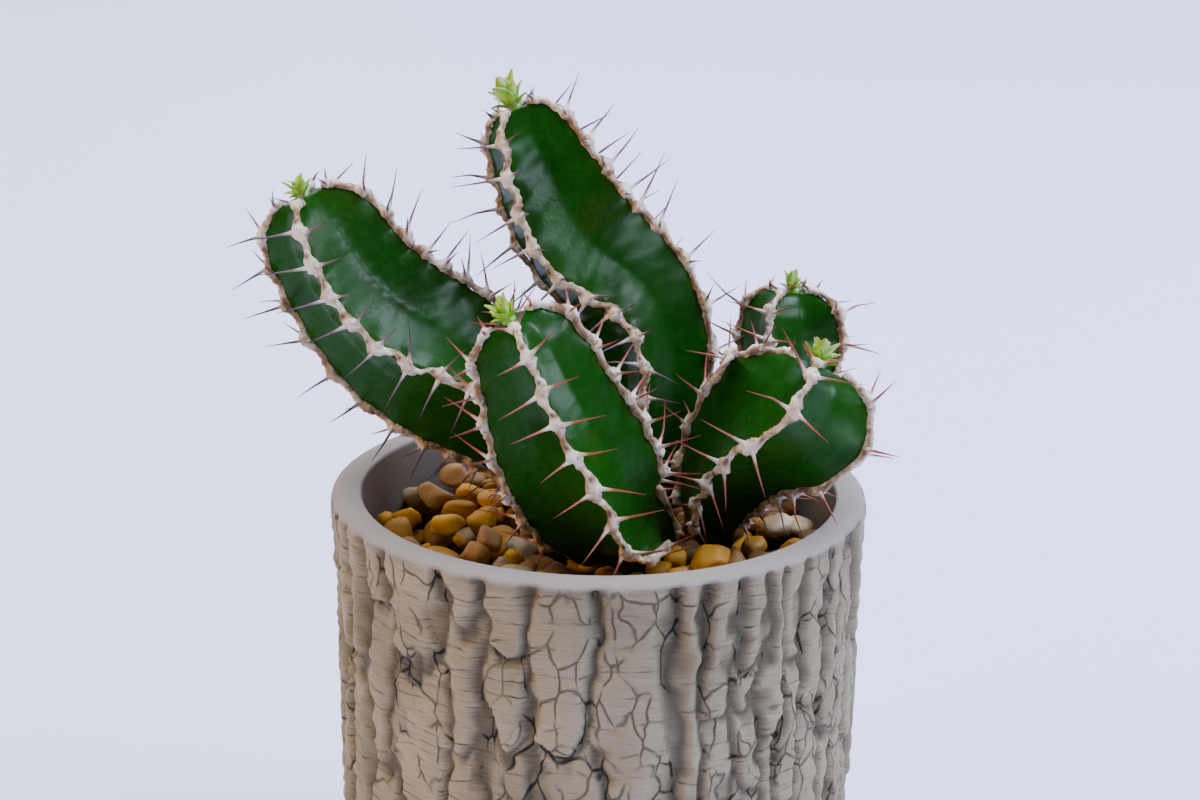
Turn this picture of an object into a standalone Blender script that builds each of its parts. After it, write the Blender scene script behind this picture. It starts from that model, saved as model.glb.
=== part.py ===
"""Potted euphorbia: five four-angled stems in a round pot moulded to look like bark.

The frame has +Z up, the pot's axis on Z and the pot's foot on z = 0. The side that the plant
shows best faces -Y. Lengths are in metres. Every object is one closed solid, and a piece that
rests on its neighbour stands GAP away from it.
"""

import math
import random
from typing import NamedTuple

import bmesh
import bpy
import numpy as np
from mathutils import Vector

MM = 0.001
GAP = 0.3 * MM
MERGE_DISTANCE = 0.05 * MM
SHARP_ANGLE = math.radians(38)

# Pot
POT_HEIGHT = 90 * MM
POT_RADIUS = 45 * MM
POT_FOOT_RADIUS = 44 * MM
RIM_INNER_RADIUS = 39.8 * MM
FLOOR_INNER_RADIUS = 38 * MM
FLOOR_THICKNESS = 6 * MM
EDGE_ROUND_HEIGHT = 1.1 * MM
EDGE_ROUND_WIDTH = 1.65 * MM
INNER_BEVEL = 0.6 * MM
DRAIN_HOLES = 6
DRAIN_RADIUS = 1.8 * MM
DRAIN_RING_RADIUS = 20 * MM
DRAIN_FIRST_ANGLE = math.radians(17)
DRAIN_SIDES = 12

# Bark plates, in columns round the pot. The tuples hold millimetres.
PLATE_SEED = 11
PLATE_POWER = 2.3
PLATE_GROOVE_DEPTH = 2.4 * MM
PLATE_GROOVE_SHARE = 0.85
PLATE_GROOVE_VARIATION = 0.2
PLATE_GROOVE_LEAST = 0.6 * MM
PLATE_TUCK = 0.8 * MM
PLATE_TUCK_START = 0.2
PLATE_CROWN = 0.4 * MM
PLATE_ARCH = 3.5 * MM
PLATE_FLUSH_BAND = 9 * MM
PLATE_FLUSH_EDGE = 2 * MM
PLATE_SHIFT = 0.4
PLATE_STAND_BACK = 0.7
PLATE_WIDTHS = (4.2, 9.5)
PLATE_LENGTHS = (14, 44)
PLATE_LOWEST = -20
PLATE_OVERRUN = 8
PLATES_A_COLUMN = 8
PLATE_SHOULDER_BLEND = 0.4
PLATE_SHOULDER_LIMIT = 0.9
# Widths of a plate's left and right shoulders: most have one steep side.
PLATE_SHOULDERS = (
    (1.2, 3.6), (1.2, 3.0), (1.4, 2.6), (3.4, 1.2), (1.9, 1.9), (2.6, 1.3),
)
# The columns at the front, from left to right: a width and the heights of the plates' lower
# ends. The first column's left edge is at the turn below.
PLATE_FRONT_COLUMNS = (
    (7, (66, 38, 9)), (8, (78, 50, 21)), (11, (71, 44, 14)), (7.5, (80, 58, 30)),
    (8, (77, 61, 26)), (11, (60, 31)), (11.5, (39, 8)), (4.7, (47,)), (5.5, (63, 41, 17)),
    (6, (74, 66, 52, 23)), (4, (58, 12)), (5, (70, 46)), (7, (62, 33)),
)
PLATE_FRONT_START = math.radians(-66)
PLATE_GRID_SHARES = (0, 0.22, 0.5, 0.78)
PLATE_GRID_ROWS = 24
PLATE_GRID_EDGE = 0.8 * MM
PLATE_GRID_BEND = 0.6
# Size, wavelength and seed of the sideways and upward bends of the plates' outlines.
BEND_ACROSS = (0.62 * MM, 13 * MM, 1)
BEND_ACROSS_STRETCH = (2, 2, 1)
BEND_UP = (1.2 * MM, 9 * MM, 3)
# Wavelength and seed of the change in the grooves' depth.
DEPTH_WAVES = (30 * MM, 5)
RIPPLE_WAVES = 14
RIPPLE_LENGTHS = (0.7, 1.5)

# Filling
SOIL_TOP = 76 * MM
GRAVEL_TOP = 81 * MM
GRAVEL_EDGE_DROP = 1.5 * MM
GRAVEL_FLAT_SHARE = 0.9
WALL_CLEARANCE = 0.42 * MM
FILLING_STEPS = 48
PEBBLES = 18
PEBBLE_SIZE = 6.4 * MM
PEBBLE_WIDTH_SHARES = (0.85, 1.25)
PEBBLE_HEIGHT_SHARES = (0.6, 0.85)
PEBBLE_LUMPINESS = 0.05
PEBBLE_STEM_CLEARANCE = 2 * MM
PEBBLE_INNER_SHARE = 0.55

# Stems
RIBS = 4
STEM_SAMPLES = 400
VALLEY = 0.54
VALLEY_HALF_ANGLE = math.radians(12)
CREST_HALF_WIDTH = 0.5 * MM
NECK_FLARE = 14 * MM
AREOLE_PITCH = 5.6 * MM
AREOLE_LENGTH = 1.7 * MM
APEX_RADIUS = 1.5 * MM
DOME_POWER = 2.4
SOCKET_OVERRUN = 4 * MM
SOCKET_CLEARANCE = 1.0 * MM
SOCKET_SIDES = 16

# Horny rib margins and their spines
MARGIN_HEIGHT = 1.0 * MM
MARGIN_FOOT_HALF_WIDTH = 0.95 * MM
MARGIN_TOP_HALF_WIDTH = 0.7 * MM
MARGIN_END_RADIUS = 3.4 * MM
SPINE_LENGTH = 8.2 * MM
SPINE_REACH_SHARE = 0.85
SPINE_OUTWARD = 0.72
SPINE_SIDEWAYS = 0.64
SPINE_LEAN = 0.3
SPINE_CLEARANCE = 1.4 * MM
SPINE_SHARES = (1, 0.7, 0.4)
SPINE_CHECK_POINTS = 7

# Leaf tufts
LEAF_COUNT = 6
LEAF_LENGTH = 3.2 * MM
LEAF_RISE = 0.9
BUD_RADIUS = 1.7 * MM
BUD_HEIGHT = 2.2 * MM
BUD_PROFILE = ((0, 0.8), (0.5, 1), (1, 0.5))


class Station(NamedTuple):
    """One place on a stem's centreline: its point and rib reach in millimetres, and the turn
    of the front rib to the right of -Y in degrees."""

    x: float
    y: float
    z: float
    reach: float
    turn: float


STEMS = {
    "left": [
        Station(-5, 6, 72, 4, 30),
        Station(-5, 6, 84.5, 4.5, 30),
        Station(-7.5, 6, 93.5, 8, 26),
        Station(-18.5, 6, 104.5, 12, 18),
        Station(-31, 6, 112, 14, 1),
        Station(-41.5, 6, 122, 12, -10),
        Station(-49.5, 5, 138.5, 9.5, -6),
    ],
    "tall": [
        Station(8, 10, 72, 4, -20),
        Station(8, 10, 84, 4.5, -20),
        Station(8.5, 9, 96, 8.5, -15),
        Station(10, 9.5, 111, 9.5, -8),
        Station(5.5, 11, 122, 10.5, -13),
        Station(-3.5, 12, 129, 13, -30),
        Station(-9, 12.5, 139.5, 11, -31),
        Station(-15, 13.5, 152, 6.5, -22),
    ],
    "front": [
        Station(9, -7.5, 72, 4, 8),
        Station(9, -7.5, 82, 4, 8),
        Station(7.5, -9, 87, 5, 6),
        Station(2, -16.5, 88.5, 10, 7),
        Station(-1.5, -20.5, 98, 12, 13),
        Station(-6.2, -22, 107, 11.5, 9),
        Station(-9.5, -23, 117, 9, 1),
        Station(-14.4, -24.5, 126, 8, 12),
    ],
    "right": [
        Station(18.5, -2.5, 72, 4, -28),
        Station(18.5, -2.5, 83, 4, -28),
        Station(19, -5, 91, 7, -26),
        Station(23, -8.5, 100, 9.5, -21),
        Station(27.5, -11, 104.5, 12, -14),
        Station(32, -12, 108, 14, -13),
        Station(35, -10, 115, 13.5, -13),
    ],
    "back_right": [
        Station(21.5, 12, 72, 4, -21),
        Station(21.5, 12, 83, 4, -21),
        Station(23, 13.5, 91, 6.5, -21),
        Station(29, 18.5, 97, 7.5, -22),
        Station(33, 23, 102, 8.5, -24),
        Station(33.5, 25, 110, 9.5, -27),
        Station(33.5, 26, 118, 10.5, -30),
    ],
}


# ---------------------------------------------------------------- helpers


def clear_scene():
    """Removes what the scene holds."""
    for thing in list(bpy.data.objects):
        bpy.data.objects.remove(thing)


def new_collection(name):
    """A collection under the scene's own."""
    collection = bpy.data.collections.new(name)
    bpy.context.scene.collection.children.link(collection)
    return collection


def linear(value):
    """One sRGB channel from 0 to 255 as linear light."""
    value /= 255
    return value / 12.92 if value <= 0.04045 else ((value + 0.055) / 1.055) ** 2.4


def make_material(name, colour, roughness):
    """A Principled material of an sRGB colour."""
    material = bpy.data.materials.new(name)
    material.use_nodes = True
    shader = material.node_tree.nodes["Principled BSDF"]
    shader.inputs["Base Color"].default_value = (*[linear(c) for c in colour], 1)
    shader.inputs["Roughness"].default_value = roughness
    shader.inputs["Metallic"].default_value = 0.0
    material.diffuse_color = (*[linear(c) for c in colour], 1)
    return material


def add_part(name, mesh, material, collection):
    """Puts a mesh in the scene as a named part, smooth but for its sharp edges."""
    mesh.name = name
    mesh.shade_smooth()
    mesh.set_sharp_from_angle(angle=SHARP_ANGLE)
    mesh.materials.clear()
    mesh.materials.append(material)
    part = bpy.data.objects.new(name, mesh)
    collection.objects.link(part)
    return part


def mesh_from(form):
    """A mesh from a bmesh."""
    mesh = bpy.data.meshes.new("form")
    form.to_mesh(mesh)
    form.free()
    return mesh


def turned(profile, steps):
    """A solid turned about Z by a Screw modifier from a profile that starts and ends on it."""
    form = bmesh.new()
    corners = [form.verts.new((radius, 0, height)) for radius, height in profile]
    for pair in zip(corners, corners[1:]):
        form.edges.new(pair)
    blank = bpy.data.objects.new("profile", mesh_from(form))
    bpy.context.scene.collection.objects.link(blank)
    screw = blank.modifiers.new("turn", "SCREW")
    screw.steps = steps
    screw.render_steps = steps
    screw.use_merge_vertices = True
    screw.merge_threshold = MERGE_DISTANCE
    finished = blank.evaluated_get(bpy.context.evaluated_depsgraph_get())
    mesh = bpy.data.meshes.new_from_object(finished)
    bpy.data.objects.remove(blank)
    return mesh


def add_cylinder(name, centre, radius, low, high, sides, collection):
    """An upright cylinder that only cuts."""
    form = bmesh.new()
    bmesh.ops.create_cone(
        form, cap_ends=True, segments=sides, radius1=radius, radius2=radius, depth=high - low
    )
    bmesh.ops.translate(form, verts=form.verts, vec=(*centre, (low + high) / 2))
    cutter = bpy.data.objects.new(name, mesh_from(form))
    collection.objects.link(cutter)
    cutter.hide_render = True
    cutter.display_type = "WIRE"
    return cutter


def cut(part, cutters):
    """Takes the cutters out of a part with Boolean modifiers."""
    for cutter in cutters:
        boolean = part.modifiers.new("cut " + cutter.name, "BOOLEAN")
        boolean.operation = "DIFFERENCE"
        boolean.solver = "EXACT"
        boolean.object = cutter


# ---------------------------------------------------------------- pot and filling


def ease(values, low, high):
    """A smooth step: 0 up to low, 1 from high on."""
    share = np.clip((values - low) / (high - low), 0, 1)
    return share * share * (3 - 2 * share)


def ripples(points, wavelength, seed):
    """Smooth noise about zero: a sum of sine waves of random direction, length and phase."""
    chance = np.random.default_rng(seed)
    ways = unit(chance.normal(size=(RIPPLE_WAVES, 3)))
    lengths = wavelength * chance.uniform(*RIPPLE_LENGTHS, (RIPPLE_WAVES, 1))
    phases = chance.uniform(0, math.tau, RIPPLE_WAVES)
    waves = np.sin(points @ (math.tau * ways / lengths).T + phases)
    return waves.sum(1) * math.sqrt(2 / RIPPLE_WAVES)


def bark_plates():
    """The bark's plates and the left edges of their columns, in metres round the pot.

    A plate's row holds its middle across, its middle height, its half width, its half height,
    the widths of its left and right shoulders and how far it stands back.
    """
    chance = np.random.default_rng(PLATE_SEED)
    columns = list(PLATE_FRONT_COLUMNS)
    spare = math.tau * POT_RADIUS / MM - sum(width for width, _ in columns)
    while spare > PLATE_WIDTHS[1]:
        columns.append((chance.uniform(*PLATE_WIDTHS), ()))
        spare -= columns[-1][0]
    columns.append((spare, ()))
    top = POT_HEIGHT / MM + PLATE_OVERRUN
    edges = [PLATE_FRONT_START * POT_RADIUS / MM]
    rows = []
    for width, ends in columns:
        if not ends:
            start = chance.uniform(PLATE_LOWEST, 0)
            ends = start + np.cumsum(chance.uniform(*PLATE_LENGTHS, PLATES_A_COLUMN))[::-1]
        borders = [PLATE_LOWEST, *(end for end in ends[::-1] if end < top), top]
        for low, high in zip(borders, borders[1:]):
            shoulders = PLATE_SHOULDERS[chance.integers(len(PLATE_SHOULDERS))]
            middle = edges[-1] + width / 2 + PLATE_SHIFT * chance.normal()
            back = chance.uniform(0, PLATE_STAND_BACK)
            half = (width / 2, (high - low) / 2)
            rows.append((middle, (low + high) / 2, *half, *shoulders, back))
        edges.append(edges[-1] + width)
    return np.array(rows) * MM, np.array(edges) * MM


def on_pot(angle, height):
    """Points on the pot's outer cylinder at a turn to the right of the front and a height."""
    return np.stack([POT_RADIUS * np.sin(angle), -POT_RADIUS * np.cos(angle), height], 1)


def bend_across(points):
    """How far the plates' outlines bend sideways at some points."""
    size, wavelength, seed = BEND_ACROSS
    return size * ripples(points * BEND_ACROSS_STRETCH, wavelength, seed)


def bark_depth(plates, angle, height):
    """How far the bark stands back from the pot's outer radius.

    A plate's own measure of a place is (|u|^p + |v|^p)^(1/p), with u = dx/a and
    v = (dy - arch u^2)/b for a half width a and a half height b, so that its lower end hangs
    down in the middle. The place belongs to the plate where that is least, and a groove runs
    where two are equal.
    """
    points = on_pot(angle, height)
    across = angle * POT_RADIUS + bend_across(points)
    size, wavelength, seed = BEND_UP
    up = height + size * ripples(points, wavelength, seed)
    girth, power = math.tau * POT_RADIUS, PLATE_POWER
    dx = (across[:, None] - plates[:, 0] + girth / 2) % girth - girth / 2
    u = dx / plates[:, 2]
    v = (up[:, None] - plates[:, 1] - PLATE_ARCH * u**2) / plates[:, 3]
    measure = (abs(u) ** power + abs(v) ** power) ** (1 / power)
    slope = measure ** (1 - power)
    slope_v = np.sign(v) * abs(v) ** (power - 1) * slope / plates[:, 3]
    slope_u = np.sign(u) * abs(u) ** (power - 1) * slope / plates[:, 2]
    slope_u -= 2 * PLATE_ARCH * u / plates[:, 2] * slope_v
    row = np.arange(len(points))
    first, second = np.argsort(measure, 1)[:, :2].T
    steep = np.hypot(
        slope_u[row, first] - slope_u[row, second], slope_v[row, first] - slope_v[row, second]
    )
    border = (measure[row, second] - measure[row, first]) / steep
    own, u, v = plates[first], u[row, first].clip(-1, 1), v[row, first].clip(-1, 1)
    blend = ease(u, -PLATE_SHOULDER_BLEND, PLATE_SHOULDER_BLEND)
    shoulder = own[:, 4] + (own[:, 5] - own[:, 4]) * blend
    rise = ease(border / np.minimum(shoulder, PLATE_SHOULDER_LIMIT * own[:, 2]), 0, 1)
    uneven = ripples(points, *DEPTH_WAVES).clip(-1, 1)
    depth = PLATE_GROOVE_DEPTH * (PLATE_GROOVE_SHARE + PLATE_GROOVE_VARIATION * uneven)
    back = own[:, 6] + PLATE_TUCK * ease(v, PLATE_TUCK_START, 1) + PLATE_CROWN * u**2
    back *= 1 - ease(height, POT_HEIGHT - PLATE_FLUSH_BAND, POT_HEIGHT - PLATE_FLUSH_EDGE)
    groove = np.maximum(depth, own[:, 6] + PLATE_GROOVE_LEAST)
    return np.maximum(back * rise + groove * (1 - rise), 0)


def bark_relief(mesh, plates, lines):
    """Turns a mesh's columns onto the grid lines and presses the bark into its outer wall.

    The grid lines are places round the pot. On the wall, between its rounded edges, they follow
    the sideways bends of the plates, so that they run along the grooves.
    """
    points = np.array([vertex.co for vertex in mesh.vertices])
    radius, height = np.hypot(points[:, 0], points[:, 1]), points[:, 2]
    turn = np.arctan2(points[:, 1], points[:, 0])
    column = np.round(turn / math.tau * len(lines)).astype(int) % len(lines)
    angle = lines[column] / POT_RADIUS
    low = EDGE_ROUND_HEIGHT + PLATE_GRID_EDGE / 2
    wall = (
        (radius > (RIM_INNER_RADIUS + POT_FOOT_RADIUS) / 2)
        & (height > low) & (height < POT_HEIGHT - low)
    )
    bend = bend_across(on_pot(angle, height)[wall]) / POT_RADIUS
    angle[wall] -= PLATE_GRID_BEND * bend
    radius[wall] -= bark_depth(plates, angle[wall], height[wall])
    moved = np.stack([radius * np.sin(angle), -radius * np.cos(angle), height], 1)
    mesh.vertices.foreach_set("co", moved.ravel())


def make_pot(material, parts, cutters):
    """The pot: a turned wall and floor, bark plates outside and drain holes in the floor."""
    plates, edges = bark_plates()
    shares = np.array(PLATE_GRID_SHARES)
    lines = (edges[:-1, None] + shares * np.diff(edges)[:, None]).ravel()
    foot, top = EDGE_ROUND_HEIGHT, POT_HEIGHT - EDGE_ROUND_HEIGHT
    levels = np.linspace(top - PLATE_GRID_EDGE, foot + PLATE_GRID_EDGE, PLATE_GRID_ROWS)
    outer = [
        (POT_FOOT_RADIUS + (POT_RADIUS - POT_FOOT_RADIUS) * level / POT_HEIGHT, level)
        for level in (top, *levels, foot)
    ]
    profile = [
        (0, FLOOR_THICKNESS),
        (FLOOR_INNER_RADIUS, FLOOR_THICKNESS),
        (RIM_INNER_RADIUS, POT_HEIGHT - INNER_BEVEL),
        (RIM_INNER_RADIUS + INNER_BEVEL, POT_HEIGHT),
        (POT_RADIUS - EDGE_ROUND_WIDTH, POT_HEIGHT),
        *outer,
        (POT_FOOT_RADIUS - EDGE_ROUND_WIDTH, 0),
        (0, 0),
    ]
    mesh = turned(profile, len(lines))
    bark_relief(mesh, plates, lines)
    holes = []
    for index in range(DRAIN_HOLES):
        angle = DRAIN_FIRST_ANGLE + math.tau * index / DRAIN_HOLES
        centre = (DRAIN_RING_RADIUS * math.cos(angle), DRAIN_RING_RADIUS * math.sin(angle))
        holes.append(
            add_cylinder(
                f"drain_cutter_{index + 1}", centre, DRAIN_RADIUS,
                -FLOOR_THICKNESS, 2 * FLOOR_THICKNESS, DRAIN_SIDES, cutters,
            )
        )
    cut(add_part("pot", mesh, material, parts), holes)


def wall_radius(height):
    """The pot's inner radius at a height."""
    share = (height - FLOOR_THICKNESS) / (POT_HEIGHT - INNER_BEVEL - FLOOR_THICKNESS)
    return FLOOR_INNER_RADIUS + (RIM_INNER_RADIUS - FLOOR_INNER_RADIUS) * share


def make_filling(soil_material, gravel_material, sockets, parts):
    """The potting mix and the gravel layer on it, with a socket for each stem's neck."""
    low = FLOOR_THICKNESS + GAP
    soil = turned(
        [
            (0, SOIL_TOP),
            (wall_radius(SOIL_TOP) - WALL_CLEARANCE, SOIL_TOP),
            (wall_radius(low) - WALL_CLEARANCE, low),
            (0, low),
        ],
        FILLING_STEPS,
    )
    bed_low = SOIL_TOP + GAP
    bed_edge = GRAVEL_TOP - GRAVEL_EDGE_DROP
    bed = turned(
        [
            (0, GRAVEL_TOP),
            (GRAVEL_FLAT_SHARE * RIM_INNER_RADIUS, GRAVEL_TOP),
            (wall_radius(bed_edge) - WALL_CLEARANCE, bed_edge),
            (wall_radius(bed_low) - WALL_CLEARANCE, bed_low),
            (0, bed_low),
        ],
        FILLING_STEPS,
    )
    cut(add_part("soil", soil, soil_material, parts), sockets)
    cut(add_part("gravel_bed", bed, gravel_material, parts), sockets)


def pebble_shape(half, rise, phase):
    """A rounded stone about the origin: a sphere with a few soft lumps, then flattened."""
    form = bmesh.new()
    bmesh.ops.create_icosphere(form, subdivisions=2, radius=1)
    for vertex in form.verts:
        lump = math.sin(5 * vertex.co.x + 3 * vertex.co.y + phase)
        vertex.co *= (1 + PEBBLE_LUMPINESS * lump) / (1 + PEBBLE_LUMPINESS)
    bmesh.ops.scale(form, verts=form.verts, vec=(half[0], half[1], rise))
    return form


def make_pebbles(materials, stems, parts):
    """Rounded stones of the top dressing that stand proud of the gravel layer."""
    chance = random.Random(3)
    placed = []
    while len(placed) < PEBBLES:
        angle = chance.uniform(0, math.tau)
        half = [PEBBLE_SIZE / 2 * chance.uniform(*PEBBLE_WIDTH_SHARES) for _ in range(2)]
        rise = PEBBLE_SIZE / 2 * chance.uniform(*PEBBLE_HEIGHT_SHARES)
        reach = max(half)
        share = math.sqrt(chance.uniform(PEBBLE_INNER_SHARE**2, 1))
        distance = (RIM_INNER_RADIUS - reach - 2 * GAP) * share
        height = GRAVEL_TOP + GAP + rise
        middle = Vector((distance * math.cos(angle), distance * math.sin(angle), height))
        if any((middle - other).length < reach + size + GAP for other, size in placed):
            continue
        if any(stem.distance(middle) < reach + PEBBLE_STEM_CLEARANCE for stem in stems.values()):
            continue
        placed.append((middle, reach))
        form = pebble_shape(half, rise, len(placed))
        bmesh.ops.translate(form, verts=form.verts, vec=middle)
        name = f"pebble_{len(placed):02d}"
        add_part(name, mesh_from(form), materials[len(placed) % len(materials)], parts)


# ---------------------------------------------------------------- stems


def spline(stations, count):
    """A uniform cubic B-spline along the stations, which starts and ends on the end ones."""
    rows = np.array(stations, float)
    rows = np.vstack([2 * rows[0] - rows[1], rows, 2 * rows[-1] - rows[-2]])
    place = np.linspace(0, len(rows) - 3, count)
    index = np.minimum(place.astype(int), len(rows) - 4)
    u = (place - index)[:, None]
    a, b, c, d = rows[index], rows[index + 1], rows[index + 2], rows[index + 3]
    return (
        (1 - u) ** 3 * a
        + (3 * u**3 - 6 * u**2 + 4) * b
        + (-3 * u**3 + 3 * u**2 + 3 * u + 1) * c
        + u**3 * d
    ) / 6


def unit(rows):
    """Rows of vectors scaled to length one."""
    return rows / np.linalg.norm(rows, axis=1)[:, None]


class Stem:
    """A stem's centreline, rib reach and frames, sampled closely from its base to its apex."""

    def __init__(self, stations):
        rows = spline(stations, STEM_SAMPLES)
        rows[:, :4] *= MM
        self.centre = rows[:, :3]
        self.turn = np.radians(rows[:, 4])
        travel = np.linalg.norm(np.diff(self.centre, axis=0), axis=1)
        self.along = np.concatenate([[0], np.cumsum(travel)])
        length = self.along[-1]
        dome = rows[-1, 3]
        rise = np.clip((self.along - (length - dome)) / dome, 0, 1)
        self.reach = rows[:, 3] * (1 - rise**DOME_POWER) ** (1 / DOME_POWER)
        self.tangent = unit(np.gradient(self.centre, axis=0))
        front = np.array([0, -1.0, 0])
        self.normal = unit(front - (self.tangent @ front)[:, None] * self.tangent)
        self.side = np.cross(self.tangent, self.normal)

    def at(self, along, name):
        """A sampled quantity at some distances along the stem."""
        rows = getattr(self, name)
        if rows.ndim == 1:
            return np.interp(along, self.along, rows)
        return np.stack([np.interp(along, self.along, rows[:, i]) for i in range(3)], 1)

    def distance(self, point):
        """How far a point is from the stem's rib crests, taken as a round tube."""
        gaps = np.linalg.norm(self.centre - np.array(point), axis=1) - self.reach
        return gaps.min()

    def rings(self):
        """Distances along the stem of its cross-sections, a pair at each areole."""
        climb = np.hypot(np.diff(self.along), np.diff(self.reach))
        path = np.concatenate([[0], np.cumsum(climb)])
        end = path[np.nonzero(self.reach > APEX_RADIUS)[0][-1]]
        middles = np.arange(end - 1.2 * AREOLE_LENGTH, AREOLE_LENGTH, -AREOLE_PITCH)[::-1]
        pairs = [m + sign * AREOLE_LENGTH / 2 for m in middles for sign in (-1, 1)]
        return np.interp([0, *pairs, end], path, self.along)

    def crest(self, along, rib, height):
        """Points a height above a rib's crest, with the crest's own frame."""
        angle = self.at(along, "turn") + math.tau * rib / RIBS
        normal, side = self.at(along, "normal"), self.at(along, "side")
        out = np.cos(angle)[:, None] * normal + np.sin(angle)[:, None] * side
        across = -np.sin(angle)[:, None] * normal + np.cos(angle)[:, None] * side
        points = self.at(along, "centre") + self.at(along, "reach")[:, None] * out
        forward = unit(np.gradient(points, axis=0))
        proud = unit(np.cross(across, forward))
        proud *= np.sign((proud * out).sum(1))[:, None]
        return points + height * proud, forward, across, proud


def section(stem, along):
    """The corners of one cross-section: four flat crests with a hollow face between them."""
    middle = stem.at([along], "centre")[0]
    normal, side = stem.at([along], "normal")[0], stem.at([along], "side")[0]
    reach, turn = float(stem.at(along, "reach")), float(stem.at(along, "turn"))
    valley = reach * (1 - (1 - VALLEY) * min(1, along / NECK_FLARE))
    crest = math.atan2(CREST_HALF_WIDTH, reach)
    face = math.pi / RIBS
    corners = []
    for rib in range(RIBS):
        for offset, radius in (
            (-crest, reach),
            (crest, reach),
            (face - VALLEY_HALF_ANGLE, valley),
            (face + VALLEY_HALF_ANGLE, valley),
        ):
            angle = turn + math.tau * rib / RIBS + offset
            corners.append(middle + radius * (math.cos(angle) * normal + math.sin(angle) * side))
    return corners


def loft(form, sections):
    """Joins cross-sections of equal count into a closed skin and caps its two ends."""
    rings = [[form.verts.new(corner) for corner in ring] for ring in sections]
    count = len(rings[0])
    walls = []
    for low, high in zip(rings, rings[1:]):
        walls.append(
            [
                form.faces.new((low[i], low[(i + 1) % count], high[(i + 1) % count], high[i]))
                for i in range(count)
            ]
        )
    form.faces.new(rings[0][::-1])
    form.faces.new(rings[-1])
    return walls


def make_stem(name, stem, material, parts):
    """One stem: a loft through its cross-sections."""
    form = bmesh.new()
    loft(form, [section(stem, along) for along in stem.rings()])
    add_part(f"stem_{name}", mesh_from(form), material, parts)


def is_free(root, tip, own, stems, others):
    """Whether a spine is clear of the gravel, the pot, the other stems and the other spines."""
    if tip[2] < GRAVEL_TOP + PEBBLE_SIZE + SPINE_CLEARANCE:
        return False
    over_rim = math.hypot(tip[0], tip[1]) > RIM_INNER_RADIUS - SPINE_CLEARANCE
    if over_rim and tip[2] < POT_HEIGHT + SPINE_CLEARANCE:
        return False
    if any(
        stem.distance(tip) < MARGIN_HEIGHT + SPINE_CLEARANCE
        for name, stem in stems.items()
        if name != own
    ):
        return False
    share = np.linspace(0, 1, SPINE_CHECK_POINTS)[:, None]
    points = root + share * (tip - root)
    return all(
        np.linalg.norm(points[:, None] - (start + share * (end - start)), axis=2).min()
        > SPINE_CLEARANCE
        for start, end in others
    )


def draw_spine(form, face, way, length, own, stems, others):
    """Draws a face out to a point, as long as there is room for, and returns its two ends."""
    root = np.array(face.calc_center_median())
    for share in SPINE_SHARES:
        tip = root + share * length * way
        if is_free(root, tip, own, stems, others):
            bmesh.ops.poke(form, faces=[face])["verts"][0].co = Vector(tip)
            return [(root, tip)]
    return []


def make_margin(name, stem, rib, material, stems, spines, parts):
    """A rib's horny margin: a bead along the crest, drawn out to a pair of spines an areole.

    Spines is the list of the ends of the spines on earlier ribs, and gets this rib's own.
    """
    along = stem.rings()[1:-1]
    points, forward, across, proud = stem.crest(along, rib, GAP)
    low = GRAVEL_TOP + PEBBLE_SIZE / 2
    kept = np.nonzero((stem.at(along, "reach") > MARGIN_END_RADIUS) & (points[:, 2] > low))[0]
    first = kept[0] + kept[0] % 2
    last = kept[-1] - 1 + kept[-1] % 2
    sections = []
    for i in range(first, last + 1):
        foot, top = MARGIN_FOOT_HALF_WIDTH * across[i], MARGIN_TOP_HALF_WIDTH * across[i]
        crown = points[i] + MARGIN_HEIGHT * proud[i]
        sections.append([points[i] + foot, points[i] - foot, crown - top, crown + top])
    form = bmesh.new()
    walls = loft(form, sections)
    lean = SPINE_LEAN if rib % 2 else -SPINE_LEAN
    others = list(spines)
    for number in range(0, len(walls), 2):
        i = first + number
        length = min(SPINE_LENGTH, SPINE_REACH_SHARE * float(stem.at(along[i], "reach")))
        for face, sign in ((walls[number][1], -1), (walls[number][3], 1)):
            way = SPINE_OUTWARD * proud[i] + sign * SPINE_SIDEWAYS * across[i] + lean * forward[i]
            way /= np.linalg.norm(way)
            spines += draw_spine(form, face, way, length, name, stems, others)
    add_part(f"margin_{name}_{rib + 1}", mesh_from(form), material, parts)


def make_leaves(name, stem, material, parts):
    """The tuft of small leaves at a stem's apex: a bud whose sides are drawn out to points."""
    end = stem.rings()[-1]
    up, normal, side = (stem.at([end], key)[0] for key in ("tangent", "normal", "side"))
    foot = stem.at([end], "centre")[0] + GAP * up
    sections = []
    for height, radius in BUD_PROFILE:
        ring = []
        for leaf in range(LEAF_COUNT):
            angle = math.tau * leaf / LEAF_COUNT
            out = math.cos(angle) * normal + math.sin(angle) * side
            ring.append(foot + height * BUD_HEIGHT * up + radius * BUD_RADIUS * out)
        sections.append(ring)
    form = bmesh.new()
    walls = loft(form, sections)
    heart = Vector(foot + BUD_HEIGHT / 2 * up)
    for face in walls[1]:
        root = face.calc_center_median()
        way = (root - heart).normalized() + LEAF_RISE * Vector(up)
        tip = bmesh.ops.poke(form, faces=[face])["verts"][0]
        tip.co = root + LEAF_LENGTH * way.normalized()
    add_part(f"leaves_{name}", mesh_from(form), material, parts)


# ---------------------------------------------------------------- assembly


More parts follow.
